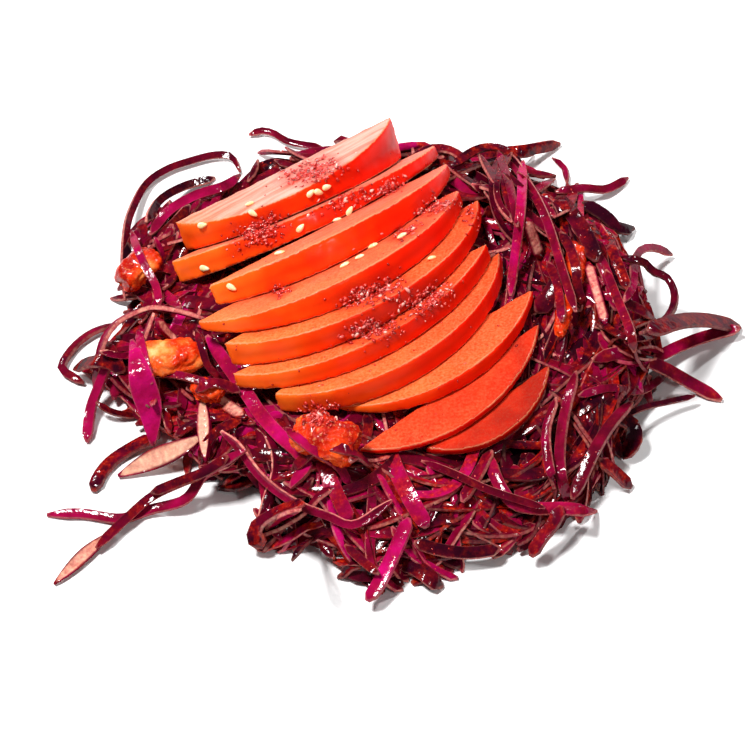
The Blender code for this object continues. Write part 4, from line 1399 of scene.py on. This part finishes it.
def add_flake(bank, place, normal, size):
    """One crumpled chip on a surface."""
    knocks = np.array([[dice.uniform(*FLAKE_KNOCK)] for _ in flake_points])
    squash = np.array([dice.uniform(*limits) for limits in FLAKE_SHAPE])
    shape = flake_points * knocks * squash * size
    shape = laid_flat(shape, place + normal * size * FLAKE_LIFT, normal, dice.uniform(0, 6.28),
                      tip=dice.gauss(0.0, 0.4))
    bank.add(shape, flake_faces, tone=min(1.0, abs(dice.gauss(*FLAKE_TONE_AND_GLINT))))


chips = Bank("tone")
for cx, cy, half_x, half_y, slant, amount in CHILI_PATCHES:
    for _ in range(amount):
        turn = math.radians(slant)
        along, aside = dice.gauss(0, 0.5) * half_x, dice.gauss(0, 0.5) * half_y
        px = cx + along * math.cos(turn) - aside * math.sin(turn)
        py = cy + along * math.sin(turn) + aside * math.cos(turn)
        place, normal = seen_on_tomato(px, py)
        if place is not None:
            add_flake(chips, place, normal, dice.triangular(*PATCH_SIZES))
            flake_places.append(place)
for _ in range(STRAY_ON_SLICES):
    place, normal = seen_on_tomato(dice.uniform(*STRAY_ACROSS), dice.uniform(*STRAY_DOWN))
    if place is not None:
        add_flake(chips, place, normal, dice.uniform(*STRAY_SIZES))
        flake_places.append(place)
cabbage_tree = tree_of([bpy.data.objects[name].data for name in
                        ("shreds_low", "shreds_middle", "shreds_top", "shreds_placed",
                         "shreds_over_pieces")])
for _ in range(STRAY_ON_CABBAGE):
    x, y = open_spot()
    place, normal, _, _ = cabbage_tree.ray_cast(Vector((x, y, FAR)), DOWN)
    if place is not None and ceiling[cells(x, y)] > place.z:
        add_flake(chips, place, normal, dice.uniform(*CABBAGE_SIZES))
chili = chips.build("chili_flakes", CHILI)
print("flakes:", len(chips.points), "faces:", len(chili.data.polygons))

# %% [markdown]
# ## Sauce stains
# Chili oil creeps out of the flakes and stains the flesh round them. The stain is painted on each
# slice's points, strongest where the nearest few flakes are close, so that it follows the patches
# and no single flake makes a blot.

# %% Sauce stains
STAIN_FLAKES = 6                # how many near flakes count
STAIN_REACH = 3.2               # mm
flake_tree = nearest_tree(flake_places)
for piece in slices:
    stain = []
    for vert in piece.data.vertices:
        near = flake_tree.find_n(vert.co / MM, STAIN_FLAKES)
        stain.append(max(0.0, 1.0 - sum(item[2] for item in near) / STAIN_FLAKES / STAIN_REACH))
    paint(piece.data, "sauce", stain)
print("slices stained by", len(flake_places), "flakes")

# %% [markdown]
# ## Floor and light
# A plain floor of white-painted board and four soft boxes. The key stands high on the left and
# gives most of the light and the soft shadows. The other three are small, so that they draw thin
# white glints on wet shreds: one behind on the left, one behind on the right, and a fill at the
# front right.

# %% Floor and lights
FLOOR_REACH = 3.0               # m from the middle to its edge
LIGHTS = (
    # name, place in m, side in m, power in W
    ("key", (-0.3, -0.05, 0.8), 0.15, 9.8),
    ("back", (-0.5, 0.5, 0.35), 0.06, 1.2),
    ("fill", (0.45, -0.5, 0.65), 0.08, 1.2),
    ("glint", (0.35, 0.45, 0.55), 0.05, 2.6),
)
WORLD_LIGHT = 0.09              # faint, so that the shadows stay soft but clear


def build_floor():
    """The table top, which is only there for the picture."""
    bm = bmesh.new()
    bmesh.ops.create_grid(bm, x_segments=1, y_segments=1, size=FLOOR_REACH)
    mesh = bpy.data.meshes.new("floor")
    bm.to_mesh(mesh)
    bm.free()
    material, tree, _, (blots,) = new_material("white_floor", (), ((40.0, 2.0, 0.5),),
                                               Roughness=0.7)
    feed_shader(tree, Base_Color=add_node(tree, "ValToRGB", {}, (blots,), stops=(
        (0.3, "#F7F7F7"), (0.7, "#FCFCFC"))))
    mesh.materials.append(material)
    floor = bpy.data.objects.new("floor", mesh)
    bpy.context.scene.collection.objects.link(floor)


def soft_box(name, place, size, power):
    """Square area light that faces the salad."""
    data = bpy.data.lights.new(name, "AREA")
    data.size = size
    data.energy = power
    light = bpy.data.objects.new(name, data)
    light.location = place
    light.rotation_euler = (-Vector(place)).to_track_quat("-Z", "Y").to_euler()
    bpy.context.scene.collection.objects.link(light)


build_floor()
for light in LIGHTS:
    soft_box(*light)
world = bpy.data.worlds.new("studio")
world.use_nodes = True
sky = world.node_tree.nodes["Background"]
sky.inputs["Color"].default_value = hex_colour("#FFFFFF")
sky.inputs["Strength"].default_value = WORLD_LIGHT
bpy.context.scene.world = world
bpy.context.scene.view_settings.view_transform = "Standard"
print("floor and", len(LIGHTS), "lights")
